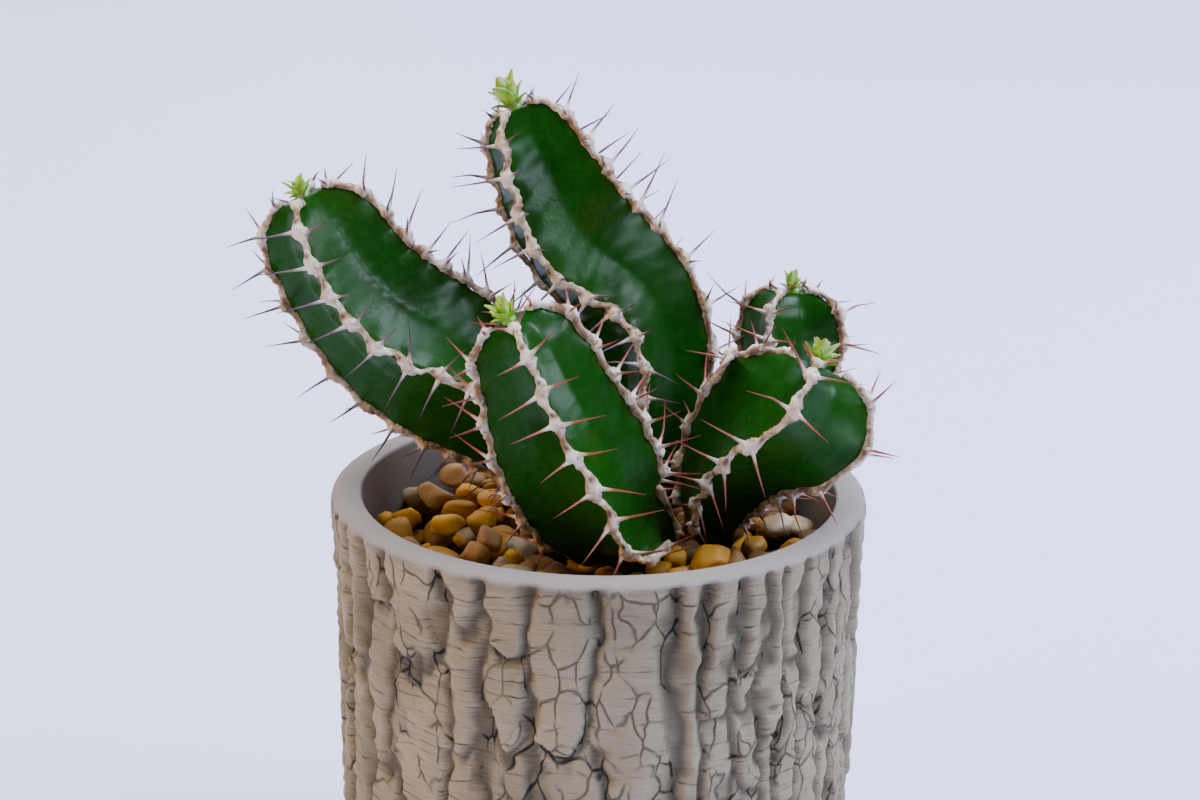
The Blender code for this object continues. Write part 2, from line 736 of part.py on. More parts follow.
def main():
    """Builds every part."""
    clear_scene()
    parts = new_collection("potted_euphorbia")
    cutters = new_collection("cutters")
    pot = make_material("moulded bark stoneware", (138, 126, 114), 0.8)
    soil = make_material("potting mix", (58, 44, 34), 0.95)
    gravel = make_material("pea gravel", (116, 84, 50), 0.6)
    amber = make_material("amber pebble", (160, 112, 26), 0.45)
    tan = make_material("tan pebble", (146, 112, 78), 0.5)
    pale = make_material("pale pebble", (170, 156, 120), 0.5)
    green = make_material("stem skin", (30, 76, 28), 0.4)
    horn = make_material("horny margin", (205, 192, 176), 0.65)
    leaf = make_material("young leaf", (150, 190, 50), 0.45)

    stems = {name: Stem(stations) for name, stations in STEMS.items()}
    sockets = []
    for name, stem in stems.items():
        base = stem.centre[0]
        sockets.append(
            add_cylinder(
                f"socket_cutter_{name}", (base[0], base[1]), stem.reach[0] + SOCKET_CLEARANCE,
                base[2] - GAP, GRAVEL_TOP + SOCKET_OVERRUN, SOCKET_SIDES, cutters,
            )
        )
    make_pot(pot, parts, cutters)
    make_filling(soil, gravel, sockets, parts)
    make_pebbles([amber, tan, pale], stems, parts)
    spines = []
    for name, stem in stems.items():
        make_stem(name, stem, green, parts)
        for rib in range(RIBS):
            make_margin(name, stem, rib, horn, stems, spines, parts)
        make_leaves(name, stem, leaf, parts)


main()
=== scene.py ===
"""Looks of the potted euphorbia: bark-moulded pot, river stones, waxy stems, horny ribs and spines.

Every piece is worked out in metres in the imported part's own frame: +Z up, the pot's axis on Z,
its foot on z = 0, and the side that the plant shows best towards -Y.
"""

import logging
import math
from dataclasses import dataclass, field
from enum import Enum

import bpy
import numpy as np
from mathutils import Matrix, Vector
from numpy.typing import ArrayLike


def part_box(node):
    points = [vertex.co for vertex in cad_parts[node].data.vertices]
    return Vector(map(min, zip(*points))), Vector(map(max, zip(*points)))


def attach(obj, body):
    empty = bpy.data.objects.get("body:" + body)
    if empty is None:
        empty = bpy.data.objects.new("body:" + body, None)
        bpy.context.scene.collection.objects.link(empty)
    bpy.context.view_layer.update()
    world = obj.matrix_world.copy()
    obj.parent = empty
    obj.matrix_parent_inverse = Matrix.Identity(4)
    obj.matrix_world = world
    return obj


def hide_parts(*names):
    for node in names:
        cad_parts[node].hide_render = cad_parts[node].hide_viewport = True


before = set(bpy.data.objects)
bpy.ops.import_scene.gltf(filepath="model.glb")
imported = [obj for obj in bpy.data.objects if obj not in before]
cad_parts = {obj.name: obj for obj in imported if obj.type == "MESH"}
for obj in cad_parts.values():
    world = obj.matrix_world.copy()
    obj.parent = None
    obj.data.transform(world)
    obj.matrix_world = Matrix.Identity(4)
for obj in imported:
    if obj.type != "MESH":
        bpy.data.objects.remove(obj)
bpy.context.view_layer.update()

LOG = logging.getLogger("potted_euphorbia")

MM = 0.001
TURN = math.tau
FRONT = np.array([0.0, -1.0, 0.0])
RIBS = 4
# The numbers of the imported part's larger stones.
PEBBLES = range(1, 19)
# Socket numbers of the colour Mix node, whose names repeat.
MIX_A, MIX_B, MIX_RESULT = 6, 7, 2

Colour = tuple[float, float, float, float]
Sockets = dict[int | str, object] | tuple[object, ...]


class Slot(Enum):
    """The record's material slots that the new pieces are listed under; nothing reads them."""

    POT = "pot"
    GRAVEL = "gravel"
    AMBER = "pebble_amber"
    TAN = "pebble_tan"
    PALE = "pebble_pale"
    STEM = "stem"
    MARGIN = "margin"
    LEAF = "leaf"


# ---------------------------------------------------------------- numbers and noise


def unit(rows: np.ndarray) -> np.ndarray:
    """Vectors along the last axis scaled to length one."""
    return rows / np.linalg.norm(rows, axis=-1, keepdims=True)


def around(count: int) -> np.ndarray:
    """Turns at equal steps round a circle, from 0."""
    return np.arange(count) * TURN / count


def xyz(x: ArrayLike, y: ArrayLike, z: ArrayLike) -> np.ndarray:
    """Points from their coordinates, each spread over the shape of the others."""
    return np.stack(np.broadcast_arrays(x, y, z), -1)


def swing(angle: np.ndarray, first: np.ndarray, second: np.ndarray) -> np.ndarray:
    """The first vector turned towards the second: cos(angle) first + sin(angle) second."""
    return np.cos(angle)[..., None] * first + np.sin(angle)[..., None] * second


def read_off(wanted: np.ndarray, known: np.ndarray, rows: np.ndarray) -> np.ndarray:
    """Vectors at the wanted places, on straight lines between the rows at the known ones."""
    return np.stack([np.interp(wanted, known, rows[:, i]) for i in range(3)], -1)


def ease(values: np.ndarray, low: float, high: float) -> np.ndarray:
    """A smooth step: 0 up to low, 1 from high on, and 3t^2 - 2t^3 between them."""
    share = np.clip((values - low) / (high - low), 0, 1)
    return share * share * (3 - 2 * share)


def ripples(points: np.ndarray, wavelength: float, seed: int, waves: int = 14) -> np.ndarray:
    """Smooth noise about zero: a sum of sine waves of random direction, length and phase.

    Args:
        points: Places, with their coordinates along the last axis.
        wavelength: The waves' middle length, in the unit of the points.
        seed: Picks the waves.
        waves: How many waves are added.

    Returns:
        One value a place, with a spread of about one.
    """
    chance = np.random.default_rng(seed)
    ways = unit(chance.normal(size=(waves, points.shape[-1])))
    lengths = wavelength * chance.uniform(0.7, 1.5, (waves, 1))
    phases = chance.uniform(0, TURN, waves)
    return np.sin(points @ (TURN * ways / lengths).T + phases).sum(-1) * math.sqrt(2 / waves)


def spline(rows: np.ndarray, count: int) -> np.ndarray:
    """A uniform cubic B-spline along rows of numbers, which starts and ends on the end ones.

    Args:
        rows: The rows that it runs along.
        count: How many places of it are wanted, at equal steps of its own measure.

    Returns:
        A row a place.
    """
    rows = np.vstack([2 * rows[0] - rows[1], rows, 2 * rows[-1] - rows[-2]])
    place = np.linspace(0, len(rows) - 3, count)
    index = np.minimum(place.astype(int), len(rows) - 4)
    u = (place - index)[:, None]
    a, b, c, d = rows[index], rows[index + 1], rows[index + 2], rows[index + 3]
    rising = (3 * u**3 - 6 * u**2 + 4) * b + (-3 * u**3 + 3 * u**2 + 3 * u + 1) * c
    return ((1 - u) ** 3 * a + rising + u**3 * d) / 6


# ---------------------------------------------------------------- meshes


@dataclass
class Form:
    """The points, faces and point values of one piece, gathered part by part."""

    points: list[np.ndarray] = field(default_factory=list)
    faces: list[list] = field(default_factory=list)
    values: dict[str, list[np.ndarray]] = field(default_factory=dict)
    count: int = 0

    def add_points(self, points: np.ndarray, values: dict[str, ArrayLike]) -> np.ndarray:
        """Adds points with their values.

        Args:
            points: Places of any shape, with x, y, z along the last axis.
            values: Values by name, each able to spread over the places.

        Returns:
            The points' numbers, in the shape of the places.
        """
        shape = points.shape[:-1]
        size = int(np.prod(shape))
        self.points.append(points.reshape(-1, 3))
        for name, value in values.items():
            self.values.setdefault(name, []).append(np.broadcast_to(value, shape).ravel())
        numbers = self.count + np.arange(size).reshape(shape)
        self.count += size
        return numbers

    def add_skin(self, numbers: np.ndarray) -> None:
        """Adds the four-sided faces of grids whose last column joins the first.

        Args:
            numbers: Point numbers by grid, row and column. The columns run counter-clockwise
                as seen from the last row, so that the faces point outwards.
        """
        after = np.roll(numbers, -1, axis=-1)
        corners = numbers[..., :-1, :], after[..., :-1, :], after[..., 1:, :], numbers[..., 1:, :]
        self.faces.append(np.stack(corners, -1).reshape(-1, 4).tolist())

    def add_tubes(self, points: np.ndarray, **values: np.ndarray) -> None:
        """Adds closed tubes or blobs: rings of points, with a pole in the middle of each end.

        Args:
            points: Places by tube, ring and place round the ring, with x, y, z last.
            **values: Values by name, each able to spread over tubes, rings and places.
        """
        numbers = self.add_points(points, values)
        self.add_skin(numbers)
        for row, turn in ((0, -1), (-1, 1)):
            ring = numbers[:, row]
            tips = {
                name: np.broadcast_to(value, points.shape[:-1])[:, row].mean(1)
                for name, value in values.items()
            }
            poles = self.add_points(points[:, row].mean(1), tips)
            fan = [ring, np.roll(ring, -1, axis=1)][::turn]
            fan.append(np.broadcast_to(poles[:, None], ring.shape))
            self.faces.append(np.stack(fan, -1).reshape(-1, 3).tolist())

    def add_mesh(self, mesh: bpy.types.Mesh, values: dict[str, float]) -> None:
        """Adds a finished mesh's points and faces.

        Args:
            mesh: The mesh.
            values: One value a name, for all of its points.
        """
        places = np.empty(3 * len(mesh.vertices))
        mesh.vertices.foreach_get("co", places)
        first = self.count
        self.add_points(places.reshape(-1, 3), values)
        self.faces.append([[first + i for i in face.vertices] for face in mesh.polygons])

    def piece(
        self, name: str, node: str, slot: Slot, material: bpy.types.Material
    ) -> bpy.types.Mesh:
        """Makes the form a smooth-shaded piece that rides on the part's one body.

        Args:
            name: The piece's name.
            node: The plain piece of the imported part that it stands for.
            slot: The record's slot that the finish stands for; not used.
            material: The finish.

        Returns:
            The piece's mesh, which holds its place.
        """
        mesh = bpy.data.meshes.new(name)
        faces = [face for group in self.faces for face in group]
        mesh.from_pydata(np.concatenate(self.points), [], faces)
        for key, parts in self.values.items():
            layer = mesh.attributes.new(key, "FLOAT", "POINT")
            layer.data.foreach_set("value", np.concatenate(parts).astype(np.float32))
        mesh.shade_smooth()
        mesh.materials.append(material)
        mesh.validate()
        obj = bpy.data.objects.new(name, mesh)
        bpy.context.scene.collection.objects.link(obj)
        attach(obj, "root")
        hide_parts(node)
        LOG.info("%s: %d faces", name, len(mesh.polygons))
        return mesh


# ---------------------------------------------------------------- finishes


def colour(code: str) -> Colour:
    """An sRGB hex colour such as '8a7e72' as linear light."""
    channels = [int(code[i : i + 2], 16) / 255 for i in (0, 2, 4)]
    return (*(c / 12.92 if c <= 0.04045 else ((c + 0.055) / 1.055) ** 2.4 for c in channels), 1.0)


def per_metre(size_mm: float) -> float:
    """The texture scale that repeats once in a size in millimetres, on coordinates in metres."""
    return 1 / (size_mm * MM)


class Finish:
    """A material in the making: its nodes, which lead to its Principled shader."""

    def __init__(self, name: str) -> None:
        """Starts the material.

        Args:
            name: What the real one is.
        """
        self.material = bpy.data.materials.new(name)
        self.material.use_nodes = True
        self.tree = self.material.node_tree

    def join(self, node: bpy.types.Node, sockets: Sockets) -> None:
        """Links outputs to a node's sockets and sets its constant ones.

        Args:
            node: The node.
            sockets: Outputs, numbers or hex colours, by the sockets' names or numbers or in
                their order. Map Range's are its value and the ends of both ranges.
        """
        pairs = sockets.items() if isinstance(sockets, dict) else enumerate(sockets)
        for key, value in pairs:
            if isinstance(value, bpy.types.NodeSocket):
                self.tree.links.new(value, node.inputs[key])
            else:
                node.inputs[key].default_value = colour(value) if isinstance(value, str) else value

    def add(
        self,
        kind: str,
        sockets: Sockets = (),
        give: int | str = 0,
        stops: tuple[tuple[float, str], ...] = (),
        **settings: object,
    ) -> bpy.types.NodeSocket:
        """Adds a shader node.

        Args:
            kind: The node's type, without its ShaderNode.
            sockets: What its sockets are joined to, as join takes them.
            give: The name or number of the output to give back.
            stops: Places and hex colours of a colour ramp.
            **settings: The node's own settings.

        Returns:
            The output.
        """
        node = self.tree.nodes.new("ShaderNode" + kind)
        for name, value in settings.items():
            setattr(node, name, value)
        self.join(node, sockets)
        if stops:
            elements = node.color_ramp.elements
            while len(elements) < len(stops):
                elements.new(1.0)
            for element, (place, tint) in zip(elements, stops):
                element.position = place
                element.color = colour(tint)
        return node.outputs[give]

    def made(self, sockets: Sockets) -> bpy.types.Material:
        """The material, once its shader's own sockets are joined."""
        self.join(self.tree.nodes["Principled BSDF"], sockets)
        return self.material


@dataclass(frozen=True)
class BarkStoneware:
    """Cast stoneware, unglazed.

    The eye sees warm matt taupe, with hairline cracks across the raised plates, level creases
    between them and fine level lines left by the mould. The grooves, cracks and creases are
    darkened with painted shade, and the smooth rim, inner wall and foot have a greyer, cooler
    tone that is partly cleaner clay and partly painted cool sheen from above.
    """

    plate: str = "998b6c"
    plate_dark: str = "82765a"
    # The smooth rim, inner wall and foot: a greyer, cooler tone, partly cleaner clay and partly
    # painted cool sheen from the light above.
    smooth: str = "8b8275"
    # Painted shade: the grooves' beds, the cracks and the creases are darkened towards this colour.
    groove: str = "24231a"
    blotch_mm: float = 16.0
    crack_cell_mm: float = 4.4
    crack_squash: float = 0.5
    crack_share: float = 0.05
    crack_gap_mm: float = 5.0
    bend_pitch_mm: float = 4.2
    bend_mm: float = 2.4
    crease_share: float = 0.06
    crease_gap_mm: float = 3.6
    line_pitch_mm: float = 0.55
    line_stretch: float = 0.1
    grain_mm: float = 0.3

    def material(self) -> bpy.types.Material:
        """Makes the finish, which reads the point values cavity, cracked, level and bark.

        Returns:
            The node material.
        """
        finish = Finish("cast stoneware")
        place = finish.add("TexCoord", give="Object")
        groove_shade, cracked, level, bark = (
            finish.add("Attribute", give="Fac", attribute_name=name)
            for name in ("groove_shade", "cracked", "level", "bark")
        )
        # Mould lines are noise stretched along the wall, so that it is thin in height only.
        stretch = (self.line_stretch, self.line_stretch, 1.0)
        stretched = finish.add("Mapping", {"Vector": place, "Scale": stretch})
        blotch, breaks, gaps, grain, lines = (
            finish.add("TexNoise", {"Vector": where, "Scale": per_metre(size), "Detail": detail})
            for where, size, detail in (
                (place, self.blotch_mm, 6.0), (place, self.crack_gap_mm, 2.0),
                (place, self.crease_gap_mm, 1.0), (place, self.grain_mm, 3.0),
                (stretched, self.line_pitch_mm, 2.0),
            )
        )
        dusty = ((0.35, self.plate_dark), (0.65, self.plate))
        body = finish.add("ValToRGB", (blotch,), stops=dusty)
        # Cracks are the borders of tall cells, bent by noise, on the plates that have them.
        waves = {"Vector": place, "Scale": per_metre(self.bend_pitch_mm), "Detail": 1.0}
        bend = finish.add("TexNoise", waves, "Color")
        bent = finish.add("VectorMath", {0: bend, "Scale": self.bend_mm * MM}, operation="SCALE")
        moved = finish.add("VectorMath", (place, bent), operation="ADD")
        tall = finish.add("Mapping", {"Vector": moved, "Scale": (1.0, 1.0, self.crack_squash)})
        cells = {"Vector": tall, "Scale": per_metre(self.crack_cell_mm)}
        border = finish.add("TexVoronoi", cells, "Distance", feature="DISTANCE_TO_EDGE")
        line = finish.add("MapRange", (border, 0.0, self.crack_share, 1.0, 0.0))
        hairline = finish.add("Math", (line, cracked), operation="MULTIPLY")
        opened = finish.add("MapRange", (breaks, 0.4, 0.52))
        part = finish.add("Math", (hairline, opened), operation="MULTIPLY")
        # Level creases lie where the count of plate segments is a whole number, with breaks.
        fraction = finish.add("Math", (level,), operation="FRACT")
        middle = finish.add("Math", (fraction, 0.5), operation="SUBTRACT")
        away = finish.add("Math", (middle,), operation="ABSOLUTE")
        crease = finish.add("MapRange", (away, 0.5 - self.crease_share, 0.5))
        kept = finish.add("MapRange", (gaps, 0.42, 0.6))
        broken = finish.add("Math", (crease, kept), operation="MULTIPLY")
        # They end before a groove's bed, where the count jumps to the next plate's.
        raised = finish.add("MapRange", (groove_shade, 0.2, 0.45, 0.6, 0.0))
        faint = finish.add("Math", (broken, raised), operation="MULTIPLY")
        crack = finish.add("Math", (part, faint), operation="MAXIMUM")
        # Painted shade: cracks, creases and groove beds are darkened towards the shade colour, as
        # shade falls in them.
        dark = finish.add("Math", (crack, 0.72, groove_shade), operation="MULTIPLY_ADD", use_clamp=True)
        # The bark's body lies over the smooth clay's tone, which is partly painted cool sheen, and
        # painted shade goes over both.
        tint = self.smooth
        for share, layer in ((bark, body), (dark, self.groove)):
            sockets = {0: share, MIX_A: tint, MIX_B: layer}
            tint = finish.add("Mix", sockets, MIX_RESULT, data_type="RGBA")
        normal = finish.add("Bump", {"Strength": 0.35, "Distance": 0.12 * MM, "Height": grain})
        ruled = {"Strength": bark, "Distance": 0.6 * MM, "Height": lines, "Normal": normal}
        normal = finish.add("Bump", ruled)
        split = {"Strength": 1.0, "Distance": 0.35 * MM, "Height": crack, "Normal": normal}
        normal = finish.add("Bump", split, invert=True)
        return finish.made(
            {"Base Color": tint, "Normal": normal, "Roughness": 0.66, "Specular IOR Level": 0.1}
        )


@dataclass(frozen=True)
class WaxySkin:
    """Euphorbia stem skin: green flesh under a clear wax.

    The eye sees deep green with olive and blue-green patches and fine dark specks, a lighter
    line beside each rib, broad soft highlights, and dark brown at the old foot, which is partly
    woody old tissue and partly painted shade where the stems crowd down to the stones.
    """

    deep: str = "0a2a04"
    green: str = "113f05"
    olive: str = "2a420a"
    bloom: str = "20541c"
    cork_and_shade_tint: str = "2a1f16"
    patch_mm: float = 16.0
    fleck_mm: float = 2.6
    speck_mm: float = 0.9
    pore_mm: float = 0.45

    def material(self) -> bpy.types.Material:
        """Makes the finish, which reads the point values crest and age.

        Returns:
            The node material.
        """
        finish = Finish("waxy stem skin")
        place = finish.add("TexCoord", give="Object")
        crest, age = (
            finish.add("Attribute", give="Fac", attribute_name=name) for name in ("crest", "age")
        )
        patch, fleck, speck, pores = (
            finish.add(
                "TexNoise",
                {"Vector": place, "Scale": per_metre(size), "Detail": detail, "Roughness": rough},
            )
            for size, detail, rough in (
                (self.patch_mm, 3.0, 0.5), (self.fleck_mm, 4.0, 0.6),
                (self.speck_mm, 3.0, 0.7), (self.pore_mm, 2.0, 0.5),
            )
        )
        greens = ((0.3, self.deep), (0.46, self.green), (0.56, self.green), (0.82, self.olive))
        tint = finish.add("ValToRGB", (patch,), stops=greens)
        # Over the flesh lie pale bloom, dark specks and the ribs' shoulders, and at the old foot a
        # dark brown that is partly woody old tissue and partly painted shade.
        for share, layer in (
            (finish.add("MapRange", (fleck, 0.45, 0.8, 0.0, 0.35)), self.bloom),
            (finish.add("MapRange", (speck, 0.42, 0.75, 0.0, 0.6)), self.deep),
            (finish.add("MapRange", (crest, 0.7, 1.0, 0.0, 0.45)), self.olive),
            (age, self.cork_and_shade_tint),
        ):
            sockets = {0: share, MIX_A: tint, MIX_B: layer}
            tint = finish.add("Mix", sockets, MIX_RESULT, data_type="RGBA")
        normal = finish.add("Bump", {"Strength": 0.12, "Distance": 0.1 * MM, "Height": pores})
        soft = {"Strength": 0.2, "Distance": 0.3 * MM, "Height": fleck, "Normal": normal}
        normal = finish.add("Bump", soft)
        gloss = finish.add("MapRange", (patch, 0.3, 0.7, 0.22, 0.3))
        return finish.made(
            {"Base Color": tint, "Normal": normal, "Roughness": gloss, "Specular IOR Level": 0.04}
        )


@dataclass(frozen=True)
class HornAndSpine:
    """Dry horn of a rib's margin, drawn out to spines.

    The eye sees chalky cream with tan and grey scars, and spines that start as cream, turn
    red-brown or, on weathered stems, grey purple, and end in a dark needle point.
    """

    name: str
    shaft: str
    tip: str
    cream: str = "decfba"
    straw: str = "bfa684"
    tan: str = "806244"
    scar: str = "4a3022"
    blotch_mm: float = 2.4
    scar_mm: float = 0.9

    def material(self) -> bpy.types.Material:
        """Makes the finish.

        It reads the point values shaft, 0 on horn and 1 at a spine's tip, bud, 1 in a bud's
        pit, and wear, from -1 on the woolly young end to 2 on the thin stretches' sides, which
        browns the horn: partly real weathering between the areoles, partly painted shade down
        the sides of the bead.

        Returns:
            The node material.
        """
        finish = Finish(self.name)
        place = finish.add("TexCoord", give="Object")
        shaft, bud, wear = (
            finish.add("Attribute", give="Fac", attribute_name=name)
            for name in ("shaft", "bud", "wear")
        )
        blotch, pit = (
            finish.add(
                "TexNoise",
                {"Vector": place, "Scale": per_metre(size), "Detail": detail, "Roughness": rough},
            )
            for size, detail, rough in ((self.blotch_mm, 5.0, 0.6), (self.scar_mm, 3.0, 0.7))
        )
        # Painted shade: the bead's sides are tinted towards tan, over the real browning of the thin
        # stretches between the areoles.
        weathered_and_shaded = finish.add("Math", (wear, 0.09, blotch), operation="MULTIPLY_ADD")
        horn = ((0.44, self.cream), (0.56, self.straw), (0.7, self.tan))
        tint = finish.add("ValToRGB", (weathered_and_shaded,), stops=horn)
        scarred = finish.add("MapRange", (pit, 0.6, 0.72, 0.0, 0.75))
        marked = finish.add("Math", (scarred, bud), operation="MAXIMUM", use_clamp=True)
        needle = ((0.1, self.cream), (0.35, self.shaft), (1.0, self.tip))
        spine = finish.add("ValToRGB", (shaft,), stops=needle)
        drawn = finish.add("MapRange", (shaft, 0.0, 0.12))
        for share, layer in ((marked, self.scar), (drawn, spine)):
            sockets = {0: share, MIX_A: tint, MIX_B: layer}
            tint = finish.add("Mix", sockets, MIX_RESULT, data_type="RGBA")
        normal = finish.add("Bump", {"Strength": 1.0, "Distance": 0.35 * MM, "Height": pit})
        return finish.made(
            {"Base Color": tint, "Normal": normal, "Roughness": 0.6, "Specular IOR Level": 0.12}
        )


@dataclass(frozen=True)
class YoungLeaf:
    """Soft young leaf.

    The eye sees yellow-green, lighter along the middle, lit through by the light behind it.
    """

    blade: str = "6fa80e"
    middle: str = "b2d63e"
    tip: str = "9a7a3a"

    def material(self) -> bpy.types.Material:
        """Makes the finish, which reads the point values rib, 1 at the midrib, and reach.

        Returns:
            The node material.
        """
        finish = Finish("young leaf")
        rib, reach = (
            finish.add("Attribute", give="Fac", attribute_name=name) for name in ("rib", "reach")
        )
        blade = finish.add("ValToRGB", (rib,), stops=((0.3, self.blade), (1.0, self.middle)))
        end = finish.add("MapRange", (reach, 0.85, 1.0, 0.0, 0.8))
        sockets = {0: end, MIX_A: blade, MIX_B: self.tip}
        tint = finish.add("Mix", sockets, MIX_RESULT, data_type="RGBA")
        return finish.made(
            {
                "Base Color": tint, "Roughness": 0.42,
                "Subsurface Weight": 0.25, "Subsurface Scale": 0.6 * MM,
            }
        )


@dataclass(frozen=True)
class RiverStone:
    """Tumbled quartz and flint gravel.

    The eye sees satin stones, each of its own colour between a few, with faint bands and dark
    pits.
    """

    name: str
    palette: tuple[str, ...]
    dirt: str = "3a2a18"
    band_mm: float = 4.0
    pit_mm: float = 0.7

    def material(self) -> bpy.types.Material:
        """Makes the finish, which reads the point value stone, a random number a stone.

        Returns:
            The node material.
        """
        finish = Finish(self.name)
        place = finish.add("TexCoord", give="Object")
        stone = finish.add("Attribute", give="Fac", attribute_name="stone")
        band, pits = (
            finish.add("TexNoise", {"Vector": place, "Scale": per_metre(size), **sockets})
            for size, sockets in (
                (self.band_mm, {"Detail": 5.0, "Distortion": 0.8}),
                (self.pit_mm, {"Detail": 4.0, "Roughness": 0.65}),
            )
        )
        mixed = finish.add("Math", (band, 0.22, stone), operation="MULTIPLY_ADD")
        shifted = finish.add("Math", (mixed, 0.11), operation="SUBTRACT")
        steps = len(self.palette) - 1
        hues = tuple((i / steps, hue) for i, hue in enumerate(self.palette))
        body = finish.add("ValToRGB", (shifted,), stops=hues)
        soiled = finish.add("MapRange", (pits, 0.58, 0.78, 0.0, 0.5))
        sockets = {0: soiled, MIX_A: body, MIX_B: self.dirt}
        tint = finish.add("Mix", sockets, MIX_RESULT, data_type="RGBA")
        normal = finish.add("Bump", {"Strength": 0.6, "Distance": 0.2 * MM, "Height": pits})
        return finish.made(
            {"Base Color": tint, "Normal": normal, "Roughness": 0.55, "Specular IOR Level": 0.2}
        )


@dataclass(frozen=True)
class PottingMix:
    """Peat and bark compost: the eye sees a nearly black brown crumb with a few paler specks."""

    peat: str = "1d150f"
    bark: str = "4a3626"
    crumb_mm: float = 2.2

    def material(self) -> bpy.types.Material:
        """Makes the finish.

        Returns:
            The node material.
        """
        finish = Finish("potting mix")
        place = finish.add("TexCoord", give="Object")
        grains = {"Scale": per_metre(self.crumb_mm), "Detail": 6.0, "Roughness": 0.7}
        crumb = finish.add("TexNoise", {"Vector": place, **grains})
        tint = finish.add("ValToRGB", (crumb,), stops=((0.45, self.peat), (0.72, self.bark)))
        normal = finish.add("Bump", {"Strength": 1.0, "Distance": 1.0 * MM, "Height": crumb})
        return finish.made(
            {"Base Color": tint, "Normal": normal, "Roughness": 0.95, "Specular IOR Level": 0.2}
        )


@dataclass(frozen=True)
class StudioPaper:
    """Matt background paper: pale cool white, with painted cool light bluing it to the right."""

    left: str = "dfdce9"
    right: str = "dde2ff"
    cool_light_fade_mm: float = 1000.0

    def material(self) -> bpy.types.Material:
        """Makes the finish.

        Returns:
            The node material.
        """
        finish = Finish("studio paper")
        place = finish.add("TexCoord", give="Object")
        # Painted cool light: the paper blues from left to right, as if lit by the cool light on the
        # right.
        across = finish.add("SeparateXYZ", (place,), "X")
        half = self.cool_light_fade_mm * MM / 2
        share = finish.add("MapRange", (across, -half, half))
        tint = finish.add("ValToRGB", (share,), stops=((0.0, self.left), (1.0, self.right)))
        return finish.made({"Base Color": tint, "Roughness": 0.9, "Specular IOR Level": 0.0})


# ---------------------------------------------------------------- pot


